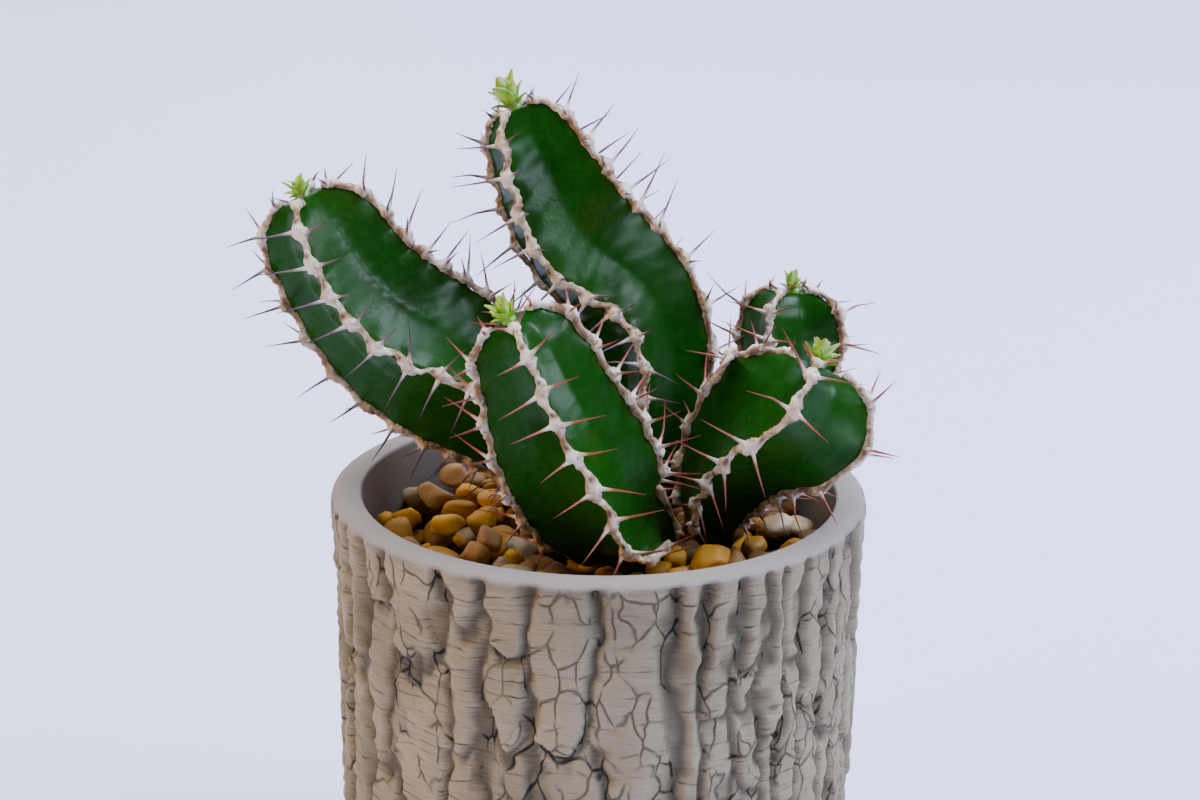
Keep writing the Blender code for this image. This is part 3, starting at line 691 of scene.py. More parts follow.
@dataclass
class BarkPot:
    """The pot: a round wall moulded to look like bark, with a smooth rim and a drained floor.

    The bark is a set of long plates, set out in columns round the wall. A plate's own measure
    of a place is (|u|^p + |v|^p)^(1/p), with u = dx/a and v = (dy - arch u^2)/b for a half width
    a and a half height b, so that its lower end hangs down in the middle. The place belongs to
    the plate where that is least, and a groove runs where two are equal.
    """

    height: float
    radius: float = 45 * MM
    foot_radius: float = 44 * MM
    rim_inner_radius: float = 39.8 * MM
    floor_inner_radius: float = 38 * MM
    floor: float = 6 * MM
    land: float = 2.6 * MM
    round_height: float = 1.3 * MM
    round_width: float = 1.7 * MM
    inner_round: float = 0.6 * MM
    columns: int = 528
    rows: int = 168
    inner_columns: int = 132
    drain_holes: int = 6
    drain_radius: float = 1.8 * MM
    drain_ring: float = 20 * MM
    drain_first: float = math.radians(17)
    plate_power: float = 2.3
    groove_depth: float = 2.4 * MM
    least_groove: float = 0.6 * MM
    arch: float = 3.5 * MM
    tuck: float = 0.8 * MM
    curl: float = 0.4 * MM
    crease_swell: float = 0.1 * MM
    crease_bend: float = 25
    crease_pitch_mm: tuple[float, float] = (2.2, 4.6)
    roughness: float = 0.07 * MM
    wide_plate: float = 4.5 * MM
    # Widths in millimetres of a plate's left and right shoulders: most have one steep side.
    shoulders: tuple[tuple[float, float], ...] = (
        (1.2, 3.6), (1.2, 3.0), (1.4, 2.6), (3.4, 1.2), (1.9, 1.9), (2.6, 1.3),
    )
    # The columns of plates at the front, from left to right: a width and the heights of the
    # plates' lower ends, in millimetres. The first column's left edge is at the turn below.
    front_columns: tuple[tuple[float, tuple[float, ...]], ...] = (
        (7, (66, 38, 9)), (8, (78, 50, 21)), (11, (71, 44, 14)), (7.5, (80, 58, 30)),
        (8, (77, 61, 26)), (11, (60, 31)), (11.5, (39, 8)), (4.7, (47,)), (5.5, (63, 41, 17)),
        (6, (74, 66, 52, 23)), (4, (58, 12)), (5, (70, 46)), (7, (62, 33)),
    )
    front_start: float = math.radians(-66)
    # Of the other columns and plates, in millimetres: the widths, the lengths, how far they run
    # on above the rim and below the foot, and how far plates are shifted and stand back.
    widths: tuple[float, float] = (4.2, 9.5)
    lengths: tuple[float, float] = (14, 44)
    overrun: float = 8
    underrun: float = 20
    shift: float = 0.4
    furthest_back: float = 0.7
    seed: int = 11

    @property
    def plain(self) -> dict[str, float]:
        """The point values of the smooth parts."""
        return {"groove_shade": 0.0, "cracked": 0.0, "level": 0.5, "bark": 0.0}

    def plates(self) -> np.ndarray:
        """Sets out the plates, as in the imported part.

        Returns:
            A row a plate: middle across, middle height, half width, half height, the width of
            its left and right shoulders and how far it stands back, in metres.
        """
        chance = np.random.default_rng(self.seed)
        columns = list(self.front_columns)
        top = self.height / MM + self.overrun
        spare = TURN * self.radius / MM - sum(width for width, _ in columns)
        while spare > self.widths[1]:
            columns.append((chance.uniform(*self.widths), ()))
            spare -= columns[-1][0]
        columns.append((spare, ()))
        edge = self.front_start * self.radius / MM
        rows = []
        for width, ends in columns:
            if not ends:
                lowest = chance.uniform(-self.underrun, 0)
                ends = lowest + np.cumsum(chance.uniform(*self.lengths, 8))[::-1]
            borders = [-self.underrun, *(end for end in ends[::-1] if end < top), top]
            for low, high in zip(borders, borders[1:]):
                shoulders = self.shoulders[chance.integers(len(self.shoulders))]
                shift = chance.normal() * self.shift
                back = chance.uniform(0, self.furthest_back)
                middle = (edge + width / 2 + shift, (low + high) / 2)
                rows.append((*middle, width / 2, (high - low) / 2, *shoulders, back))
            edge += width
        return np.array(rows) * MM

    def relief(self, angle: np.ndarray, height: np.ndarray) -> dict[str, np.ndarray]:
        """The bark's relief.

        Args:
            angle: Turn to the right of the front, from -pi to pi.
            height: Height above the foot.

        Returns:
            How far the surface stands back from the outer radius (back), how much shade is
            painted at each place for its depth in a groove (cavity, 0 to 1), how cracked its plate
            is (cracked, 0 to 1), and the count of creases up to it (level).
        """
        sites = self.plates()
        chance = np.random.default_rng(self.seed + 1)
        spacing = chance.uniform(*self.crease_pitch_mm, len(sites)) * MM
        cracked = chance.uniform(0, 0.9, len(sites)) + 0.5 * (sites[:, 2] > self.wide_plate)
        ring = xyz(self.radius * np.sin(angle), -self.radius * np.cos(angle), height)
        # The plates' borders wander by a long wave and a short one, across and up.
        across = angle * self.radius + 0.62 * MM * ripples(ring * [2, 2, 1], 13 * MM, 1)
        across += 0.25 * MM * ripples(ring, 4 * MM, 2)
        up = height + 1.2 * MM * ripples(ring, 9 * MM, 3) + 0.4 * MM * ripples(ring, 3.5 * MM, 4)
        girth = TURN * self.radius
        p = self.plate_power

        def offset(plates: np.ndarray) -> tuple[np.ndarray, np.ndarray]:
            """Shares of the half width and half height from the plates' middles, with a sign.

            Args:
                plates: Rows of the plates' sizes.

            Returns:
                The shares across and up, u and v.
            """
            dx = (across[:, None] - plates[..., 0] + girth / 2) % girth - girth / 2
            u = dx / plates[..., 2]
            return u, (up[:, None] - plates[..., 1] - self.arch * u**2) / plates[..., 3]

        # The distance to a groove is the two nearest plates' difference over its steepness.
        u, v = offset(sites)
        measure = abs(u) ** p + abs(v) ** p
        pair = np.argpartition(measure, 1, axis=1)[:, :2]
        first = np.take_along_axis(measure, pair, 1).argmin(1)
        row = np.arange(len(pair))
        pair = np.stack([pair[row, first], pair[row, 1 - first]], 1)
        u, v = offset(sites[pair])
        far = (abs(u) ** p + abs(v) ** p) ** (1 / p)
        pull = far ** (1 - p)
        slope_v = np.sign(v) * abs(v) ** (p - 1) * pull / sites[pair][..., 3]
        slope_u = np.sign(u) * abs(u) ** (p - 1) * pull - 2 * self.arch * u * slope_v
        slope_u /= sites[pair][..., 2]
        steep = np.hypot(slope_u[:, 0] - slope_u[:, 1], slope_v[:, 0] - slope_v[:, 1])
        border = (far[:, 1] - far[:, 0]) / steep
        near = pair[:, 0]
        own, u, v = sites[near], u[:, 0].clip(-1, 1), v[:, 0].clip(-1, 1)
        shoulder = own[:, 4] + (own[:, 5] - own[:, 4]) * ease(u, -0.4, 0.4)
        rise = ease(border / np.minimum(shoulder, 0.9 * own[:, 2]), 0, 1)
        depth = self.groove_depth * (0.85 + 0.2 * ripples(ring, 30 * MM, 5).clip(-1, 1))
        # Creases follow a shallow arc across their plate, and the plate swells between them.
        arc = height + self.crease_bend * (u * own[:, 2]) ** 2
        arc += 0.35 * MM * ripples(ring, 7 * MM, 6)
        level = arc / spacing[near]
        swell = self.crease_swell * np.cos(TURN * (level - 0.5))
        # A plate stands proud at its lower end and is tucked under the one above at its top.
        back = own[:, 6] + self.tuck * ease(v, 0.2, 1.0) + self.curl * u**2
        # The plates come flush with the rim at their upper ends, and only the grooves notch it.
        back *= 1 - ease(height, self.height - 9 * MM, self.height - 2 * MM)
        back += self.roughness * ripples(ring, 2.4 * MM, 7) - swell
        back = back * rise + np.maximum(depth, own[:, 6] + self.least_groove) * (1 - rise)
        # cavity is painted shade for the grooves, strongest in a groove's bed.
        return {
            "back": np.maximum(back, 0),
            "groove_shade": 0.75 * (1 - rise) ** 1.4,
            "cracked": ease(cracked[near], 0.4, 0.65),
            "level": level,
        }

    def piece(self, material: bpy.types.Material) -> None:
        """Builds the pot.

        The wall is a grid of height and turn whose radius is the taper's, less the rounding at
        its two edges, sqrt(1 - (1 - t)^2) over the rounding's height, and less the relief. The
        rim and the inner wall are turned with a quarter of the columns.

        Args:
            material: The stoneware.
        """
        form = Form()
        low, high = self.round_height * 0.05, self.height - self.round_height * 0.05
        levels = np.linspace(low, high, self.rows)
        grids = np.meshgrid(around(self.columns) - math.pi, levels)
        angle, height = (grid.ravel() for grid in grids)
        bark = self.relief(angle, height)
        edge = np.clip(np.minimum(height, self.height - height) / self.round_height, 0, 1)
        rounding = self.round_width * (1 - np.sqrt(1 - (1 - edge) ** 2))
        worn = ease(height, 0, self.round_height)
        worn *= 1 - ease(height, self.height - 1.3 * MM, self.height - 0.7 * MM)
        taper = self.foot_radius + (self.radius - self.foot_radius) * height / self.height
        radius = taper - rounding - worn * bark["back"]
        wall = xyz(radius * np.sin(angle), -radius * np.cos(angle), height)
        values = {
            "groove_shade": bark["groove_shade"] * worn,
            "cracked": bark["cracked"] * worn,
            "level": bark["level"] * worn + 0.5 * (1 - worn),
            "bark": worn,
        }
        numbers = form.add_points(wall, values).reshape(self.rows, self.columns)
        form.add_skin(numbers)
        inner = self.inner_rings(form)
        step = self.columns // self.inner_columns
        starts = np.arange(self.inner_columns)[:, None] * step
        for ring, joined, way in ((numbers[-1], inner[0], 1), (numbers[0], inner[-1], -1)):
            fine = ring[(starts + np.arange(step + 1)) % self.columns]
            coarse = np.stack([np.roll(joined, -1), joined], 1)
            form.faces.append(np.concatenate([fine, coarse], 1)[:, ::way].tolist())
        form.add_mesh(self.drained_floor(), self.plain)
        faces = form.piece("bark_pot", "pot", Slot.POT, material).polygons
        # The foot and the cut floor are level, so their faces are shaded flat.
        normals, middles = np.empty(3 * len(faces)), np.empty(3 * len(faces))
        faces.foreach_get("normal", normals)
        faces.foreach_get("center", middles)
        level = (abs(normals[2::3]) > 0.99) & (middles[2::3] < 1.5 * self.floor)
        faces.foreach_set("use_smooth", ~level)

    def inner_rings(self, form: Form) -> np.ndarray:
        """Adds the rim's land, the inner wall and the foot's underside round the floor.

        Args:
            form: The pot's form.

        Returns:
            Point numbers by ring and column, from the rim's land to the foot's.
        """
        soft, bend = self.inner_round, np.linspace(0, math.pi / 2, 5)
        share = np.linspace(0.96, 0, 9)
        inside = self.rim_inner_radius + soft * (1 - np.sin(bend))
        wall = self.floor_inner_radius + (self.rim_inner_radius - self.floor_inner_radius) * share
        rings = np.array(
            [
                (self.radius - self.land, self.height),
                *zip(inside, self.height - soft * (1 - np.cos(bend))),
                *zip(wall, self.floor + (self.height - soft - self.floor) * share),
                (self.floor_inner_radius, 0.0),
                (self.foot_radius - self.land, 0.0),
            ]
        )
        turn = around(self.inner_columns) - math.pi
        radius, height = rings[:, :1], rings[:, 1:]
        places = xyz(radius * np.sin(turn), -radius * np.cos(turn), height)
        numbers = form.add_points(places, self.plain)
        form.add_skin(numbers)
        return numbers

    def drained_floor(self) -> bpy.types.Mesh:
        """Makes the floor: a round slab less the upright cylinders of the drain holes.

        Returns:
            Its mesh.
        """
        slab = cylinder(self.floor_inner_radius, 0, self.floor, self.inner_columns)
        cutters = []
        for angle in self.drain_first + around(self.drain_holes):
            hole = cylinder(self.drain_radius, -self.floor, 2 * self.floor, 24)
            middle = (self.drain_ring * math.cos(angle), self.drain_ring * math.sin(angle), 0)
            hole.data.transform(Matrix.Translation(middle))
            boolean = slab.modifiers.new("drain", "BOOLEAN")
            boolean.solver = "EXACT"
            boolean.object = hole
            cutters.append(hole)
        done = slab.evaluated_get(bpy.context.evaluated_depsgraph_get())
        mesh = bpy.data.meshes.new_from_object(done)
        for obj in (slab, *cutters):
            bpy.data.objects.remove(obj)
        return mesh


def cylinder(radius: float, low: float, high: float, sides: int) -> bpy.types.Object:
    """An upright cylinder round Z, to be cut or to cut with.

    Args:
        radius: Its radius.
        low: The height of its underside.
        high: The height of its top.
        sides: How many sides stand for the round.

    Returns:
        The cylinder, at the origin.
    """
    turn = around(sides)
    points = xyz(radius * np.cos(turn), radius * np.sin(turn), [[low], [high]]).reshape(-1, 3)
    wall = [(i, (i + 1) % sides, sides + (i + 1) % sides, sides + i) for i in range(sides)]
    ends = [tuple(range(sides))[::-1], tuple(range(sides, 2 * sides))]
    mesh = bpy.data.meshes.new("cylinder")
    mesh.from_pydata(points, [], wall + ends)
    obj = bpy.data.objects.new("cylinder", mesh)
    bpy.context.scene.collection.objects.link(obj)
    return obj


# ---------------------------------------------------------------- stems


# Places on each stem's centreline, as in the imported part: x, y, z and the reach of the ribs in
# millimetres, and the turn of the front rib to the right of -Y in degrees.
STEMS: dict[str, tuple[tuple[float, ...], ...]] = {
    "left": (
        (-5, 6, 72, 4, 30), (-5, 6, 84.5, 4.5, 30), (-7.5, 6, 93.5, 8, 26),
        (-18.5, 6, 104.5, 12, 18), (-31, 6, 112, 14, 1), (-41.5, 6, 122, 12, -10),
        (-49.5, 5, 138.5, 9.5, -6),
    ),
    "tall": (
        (8, 10, 72, 4, -20), (8, 10, 84, 4.5, -20), (8.5, 9, 96, 8.5, -15),
        (10, 9.5, 111, 9.5, -8), (5.5, 11, 122, 10.5, -13), (-3.5, 12, 129, 13, -30),
        (-9, 12.5, 139.5, 11, -31), (-15, 13.5, 152, 6.5, -22),
    ),
    "front": (
        (9, -7.5, 72, 4, 8), (9, -7.5, 82, 4, 8), (7.5, -9, 87, 5, 6), (2, -16.5, 88.5, 10, 7),
        (-1.5, -20.5, 98, 12, 13), (-6.2, -22, 107, 11.5, 9), (-9.5, -23, 117, 9, 1),
        (-14.4, -24.5, 126, 8, 12),
    ),
    "right": (
        (18.5, -2.5, 72, 4, -28), (18.5, -2.5, 83, 4, -28), (19, -5, 91, 7, -26),
        (23, -8.5, 100, 9.5, -21), (27.5, -11, 104.5, 12, -14), (32, -12, 108, 14, -13),
        (35, -10, 115, 13.5, -13),
    ),
    "back_right": (
        (21.5, 12, 72, 4, -21), (21.5, 12, 83, 4, -21), (23, 13.5, 91, 6.5, -21),
        (29, 18.5, 97, 7.5, -22), (33, 23, 102, 8.5, -24), (33.5, 25, 110, 9.5, -27),
        (33.5, 26, 118, 10.5, -30),
    ),
}


@dataclass
class Stem:
    """A four-ribbed stem: its centreline, the reach of its ribs and frames along it.

    Places along it are given as path, the length travelled by a point that climbs with the
    centreline and moves in and out with the ribs' reach.
    """

    name: str
    samples: int = 600
    # The hollow faces: how far out their middles are, as a share of the ribs' reach, how deep
    # the fold along them is, as a share too, and its half width and rounding, in radians.
    valley: float = 0.58
    fold: float = 0.09
    fold_width: float = 0.6
    fold_round: float = 0.1
    # The crests: their rounding, and how far their lighter line and the areoles' swellings
    # spread round the stem, in radians.
    crest_round: float = 0.55 * MM
    crest_angle: float = 0.2
    swell_angle: float = 0.13
    neck_flare: float = 14 * MM
    dome_power: float = 2.4
    areole_pitch: float = 5.6 * MM
    first_areole: float = 2.04 * MM
    apex_radius: float = 1.5 * MM
    knob_length: float = 1.7 * MM
    knob_lift: float = 0.55 * MM
    apex_sink: float = 0.7 * MM
    dent: float = 0.09 * MM
    wrinkle: float = 0.02 * MM
    wrinkle_pitch: float = 2.9 * MM
    row_step: float = 0.5 * MM
    columns: int = 120
    crowding: float = 0.6
    cork_and_shade_span: tuple[float, float] = (9 * MM, 20 * MM)

    def __post_init__(self) -> None:
        """Samples the centreline closely and finds its frames and areoles."""
        rows = spline(np.array(STEMS[self.name], float), self.samples)
        rows[:, :4] *= MM
        self.centre = rows[:, :3]
        self.turn = np.radians(rows[:, 4])
        travel = np.linalg.norm(np.diff(self.centre, axis=0), axis=1)
        along = np.concatenate([[0], np.cumsum(travel)])
        dome = rows[-1, 3]
        rise = np.clip((along - (along[-1] - dome)) / dome, 0, 1)
        self.reach = rows[:, 3] * (1 - rise**self.dome_power) ** (1 / self.dome_power)
        self.tangent = unit(np.gradient(self.centre, axis=0))
        self.normal = unit(FRONT - (self.tangent @ FRONT)[:, None] * self.tangent)
        self.side = np.cross(self.tangent, self.normal)
        climb = np.hypot(travel, np.diff(self.reach))
        self.path = np.concatenate([[0], np.cumsum(climb)])
        top = self.last(self.apex_radius) - self.first_areole
        self.areoles = np.arange(top, self.knob_length, -self.areole_pitch)[::-1]
        # The growing point lies in a dimple between the ends of the ribs.
        dimple = rise * (1 - ease(self.reach, 1 * MM, 5.5 * MM))
        self.centre = self.centre - (self.apex_sink * dimple)[:, None] * self.tangent

    def last(self, reach: float) -> float:
        """The last place along the path where the ribs reach out further than this."""
        return self.path[np.nonzero(self.reach > reach)[0][-1]]

    def at(self, path: np.ndarray, name: str) -> np.ndarray:
        """A sampled quantity at some places along the path."""
        rows = getattr(self, name)
        return (np.interp if rows.ndim == 1 else read_off)(path, self.path, rows)

    def knobs(self, path: np.ndarray, length: float) -> np.ndarray:
        """How near each place is to an areole: a bell curve of one at each of them."""
        away = abs(path[:, None] - self.areoles).min(1)
        return np.exp(-((away / length) ** 2))

    def crest_reach(self, path: np.ndarray) -> np.ndarray:
        """The reach of the ribs, which stand out at each areole and sink in between."""
        swell = self.knob_lift * (self.knobs(path, self.knob_length) - 0.4)
        return self.at(path, "reach") + swell * ease(self.at(path, "reach"), 2 * MM, 6 * MM)

    def crest(self, path: np.ndarray, rib: int) -> tuple[np.ndarray, ...]:
        """The line of a rib's crest.

        Args:
            path: Places along the stem.
            rib: 0 for the front rib, then counted to the right.

        Returns:
            The crest's points, and unit vectors along it, across it and out of it.
        """
        angle = self.at(path, "turn") + TURN * rib / RIBS
        normal, side = self.at(path, "normal"), self.at(path, "side")
        out, across = swing(angle, normal, side), swing(angle, side, -normal)
        points = self.at(path, "centre") + self.crest_reach(path)[:, None] * out
        forward = unit(np.gradient(points, axis=0))
        proud = unit(np.cross(across, forward))
        proud *= np.sign((proud * out).sum(1))[:, None]
        return points, forward, across, proud

    def clearance(self, points: np.ndarray) -> np.ndarray:
        """How far points are from the stem, taken as a round tube out to its crests."""
        gaps = np.linalg.norm(points[..., None, :] - self.centre[::6], axis=-1)
        return (gaps - self.reach[::6]).min(-1)

    def skin(self, material: bpy.types.Material) -> None:
        """Builds the stem's skin.

        Round the stem, the distance from the middle is reach * (|cos|^p + |sin|^p)^(-1/p), which
        gives four crests with hollow faces between them. Each absolute value is rounded off to
        sqrt(x^2 + e^2) so that a crest isn't a knife edge. Each face is folded along its middle:
        the distance shrinks by up to the fold's share, in proportion to the nearness to that
        line. Broad dents and faint cross wrinkles, a cosine of the path, are added. The columns
        crowd near the crests.

        Args:
            material: The skin's finish.
        """
        path = np.append(np.arange(0, self.path[-1], self.row_step), self.path[-1] - 1e-5)
        quarter = np.arange(self.columns) * RIBS / self.columns
        share = quarter - np.round(quarter)
        offset = (share - self.crowding * np.sin(TURN * share) / TURN) * math.pi / 2
        angle = offset + np.round(quarter) * math.pi / 2
        flare = ease(path, 0, self.neck_flare)[:, None]
        power = 1 / (0.5 - np.log2(1 + (self.valley - 1) * flare))
        base = np.maximum(self.at(path, "reach"), 0.2 * MM)[:, None]
        soft = np.minimum(self.crest_round / base, 0.3)
        cos, sin = (np.sqrt(wave**2 + soft**2) for wave in (np.cos(angle), np.sin(angle)))
        top = (np.sqrt(1 + soft**2) ** power + soft**power) ** (1 / power)
        radius = base * top * (cos**power + sin**power) ** (-1 / power)
        to_valley = np.hypot(math.pi / 4 - abs(offset), self.fold_round) / self.fold_width
        radius = radius * (1 - self.fold * flare * np.clip(1 - to_valley, 0, 1))
        swell = (self.crest_reach(path) - self.at(path, "reach"))[:, None]
        radius += swell * (0.05 + 0.95 * np.exp(-((offset / self.swell_angle) ** 2)))
        turned = self.at(path, "turn")[:, None] + angle
        normal, side = (self.at(path, key)[:, None] for key in ("normal", "side"))
        out = swing(turned, normal, side)
        places = self.at(path, "centre")[:, None] + radius[..., None] * out
        uneven = self.dent * ripples(places, 15 * MM, 21)
        waves = path[:, None] / self.wrinkle_pitch + 0.3 * ripples(places, 12 * MM, 22)
        uneven += self.wrinkle * np.cos(TURN * waves)
        places += (uneven * ease(base, 2 * MM, 6 * MM))[..., None] * out
        form = Form()
        crest = np.exp(-((offset / self.crest_angle) ** 2))
        # The foot's brown is partly woody old tissue and partly painted shade where the stems crowd
        # down to the stones.
        age = 0.85 * (1 - ease(path, *self.cork_and_shade_span))[:, None]
        form.add_tubes(places[None], crest=crest, age=age)
        form.piece(f"skin_{self.name}", f"stem_{self.name}", Slot.STEM, material)


@dataclass
class RibMargin:
    """The horny margin of one rib, with its areoles and their pairs of spines."""

    stem: Stem
    rib: int
    others: list[Stem]
    step: float = 0.25 * MM
    sides: int = 14
    half_width: float = 0.54 * MM
    knob_width: float = 0.62 * MM
    half_height: float = 0.58 * MM
    knob_height: float = 0.36 * MM
    knob_length: float = 1.2 * MM
    proud: float = 0.42 * MM
    sway: float = 0.22 * MM
    coarse_lumps: float = 0.15
    fine_lumps: float = 0.11
    end_taper: float = 1.3 * MM
    bud_rise: float = 1.5 * MM
    bud_length: float = 0.5 * MM
    lowest: float = 84.2 * MM
    run_down: float = 1.6 * MM
    end_reach: float = 1.9 * MM
    spine_length: float = 9.4 * MM
    spine_share: float = 0.98
    spine_sides: int = 7
    spine_radius: float = 0.29 * MM
    root_radius: float = 0.46 * MM
    root_length: float = 0.8 * MM
    root_offset: float = 0.35 * MM
    shortest: float = 1.2 * MM
    outward: float = 0.6
    sideways: float = 0.8
    lean: float = 0.2
    kinked: float = 0.12
    # Spines are cut short at the gravel, at the pot's wall and with some air to other stems.
    stones_top: float = 84 * MM
    pot_inside: float = 38.6 * MM
    pot_top: float = 91 * MM
    air: float = 0.8 * MM

    def spread(self) -> tuple[float, float]:
        """Finds the stretch of the rib that the margin covers.

        Returns:
            The path places where it starts and ends.
        """
        points = self.stem.crest(self.stem.areoles, self.rib)[0]
        first = self.stem.areoles[np.nonzero(points[:, 2] > self.lowest)[0][0]]
        return first - self.run_down, self.stem.last(self.end_reach)

    def piece(self, material: bpy.types.Material) -> None:
        """Builds the margin.

        The bead is an ellipse carried along the crest. It widens by a bell curve at each areole,
        waves a little from side to side, is made lumpy by noise and tapers at its two ends as
        sqrt(1 - t^2).

        Args:
            material: The horn's finish.
        """
        start, end = self.spread()
        path = np.arange(start, end, self.step)
        points, _, across, proud = self.stem.crest(path, self.rib)
        seed = 100 + 10 * list(STEMS).index(self.stem.name) + self.rib
        knobs = self.stem.knobs(path, self.knob_length)
        near_end = np.minimum(path - start, end - path) / self.end_taper
        taper = np.sqrt(1 - (1 - np.clip(near_end + 0.05, 0, 1)) ** 2)
        young = 0.65 + 0.35 * ease(self.stem.at(path, "reach"), 3 * MM, 7 * MM)
        lean = self.sway * ripples(path[:, None], 6 * MM, seed) * taper
        middle = points + self.proud * taper[:, None] * proud + lean[:, None] * across
        turn = around(self.sides)
        height, width = (
            ((plain + knob * knobs) * taper * young)[:, None, None]
            for plain, knob in (
                (self.half_height, self.knob_height), (self.half_width, self.knob_width),
            )
        )
        bead = swing(turn, height * proud[:, None], width * across[:, None])
        places = middle[:, None] + bead
        lumps = self.coarse_lumps * ripples(places, 1.9 * MM, seed + 500)
        lumps += self.fine_lumps * ripples(places, 0.9 * MM, seed)
        above = (path[:, None] - self.stem.areoles - self.bud_rise) / self.bud_length
        bud = np.exp(-(above**2)).max(1)[:, None] * np.clip(np.cos(turn), 0, 1) ** 4
        wool = 1 - ease(self.stem.at(path, "reach"), 3 * MM, 7.5 * MM)
        # The horn browns on the thin stretches and stays pale at the woolly young end; the sin^4
        # term adds painted shade down the bead's sides.
        wear = (1 - knobs - 0.4 - wool)[:, None] + 1.4 * np.sin(turn) ** 4
        places = middle[:, None] + bead * (1 + lumps)[..., None]
        form = Form()
        form.add_tubes(places[None], shaft=np.zeros(1), bud=bud, wear=wear)
        self.add_spines(form, seed)
        name = f"{self.stem.name}_{self.rib + 1}"
        form.piece(f"horn_{name}", f"margin_{name}", Slot.MARGIN, material)

    def add_spines(self, form: Form, seed: int) -> None:
        """Adds a pair of spines at each areole.

        A spine is a tube. Its radius is a thin shaft's, which narrows to the tip, and a flared
        root's, which dies away as exp(-distance / the root's length). Its line bends by the
        square of the way along it, and a few are kinked half-way.

        Args:
            form: The margin's form.
            seed: Picks the spines' own sizes and bends.
        """
        chance = np.random.default_rng(seed)
        start, end = self.spread()
        fitted = self.stem.areoles[(self.stem.areoles > start) & (self.stem.areoles < end)]
        sign = np.tile([-1.0, 1.0], len(fitted))[:, None]
        path = np.repeat(fitted, 2)
        count = len(path)
        path = path + chance.normal(size=count) * 0.25 * MM
        line = np.sort(np.concatenate([path - 0.2 * MM, path + 0.2 * MM]))
        points, forward, across, proud = (
            read_off(path, line, part) for part in self.stem.crest(line, self.rib)
        )
        across = across * sign
        lean = (self.lean if self.rib % 2 else 0.0) + 0.18 * chance.normal(size=count)
        opened = self.sideways + 0.08 * chance.normal(size=count)
        way = unit(self.outward * proud + opened[:, None] * across + lean[:, None] * forward)
        root = points + self.root_offset * proud + self.root_offset * across
        length = np.minimum(self.spine_length, self.spine_share * self.stem.at(path, "reach"))
        length *= chance.uniform(0.82, 1.0, count)
        length *= self.room(root, way, length)
        share = np.array([0, 0.05, 0.11, 0.2, 0.34, 0.52, 0.76, 1.0])
        bend = unit(chance.normal(size=way.shape)) * (0.07 * length)[:, None]
        kink = unit(chance.normal(size=way.shape)) * length[:, None] * 0.35
        kink *= (chance.uniform(size=count) < self.kinked)[:, None]
        line = root[:, None] + share[:, None] * (length[:, None] * way)[:, None]
        line = line + (share**2)[:, None] * bend[:, None]
        line = line + np.clip(share - 0.5, 0, 1)[:, None] * kink[:, None]
        beside = unit(np.cross(way, forward))
        over = np.cross(way, beside)
        thick = self.spine_radius * (0.6 + 0.4 * length / self.spine_length)[:, None]
        flare = self.root_radius * np.exp(-share * length[:, None] / self.root_length)
        radius = thick * (1 - 0.86 * share) + flare
        ring = swing(around(self.spine_sides), beside[:, None], over[:, None])
        tubes = line[:, :, None] + radius[..., None, None] * ring[:, None]
        kept = length > self.shortest
        form.add_tubes(tubes[kept], shaft=share[:, None], bud=np.zeros(1), wear=np.zeros(1))

    def room(self, root: np.ndarray, way: np.ndarray, length: np.ndarray) -> np.ndarray:
        """The share of each spine's length that is clear of the gravel, the pot and other stems.

        Args:
            root: The spines' roots.
            way: Their directions.
            length: Their full lengths.

        Returns:
            Shares from 0 to 1.
        """
        share = np.linspace(0.1, 1, 10)
        points = root[:, None] + share[:, None] * (length[:, None] * way)[:, None]
        radius, height = np.hypot(points[..., 0], points[..., 1]), points[..., 2]
        hit = (height < self.stones_top) | (radius > self.pot_inside) & (height < self.pot_top)
        for other in self.others:
            hit |= other.clearance(points) < self.air
        clear = np.where(hit.any(1), hit.argmax(1) - 0.5, len(share))
        return np.maximum(clear, 0) / len(share)


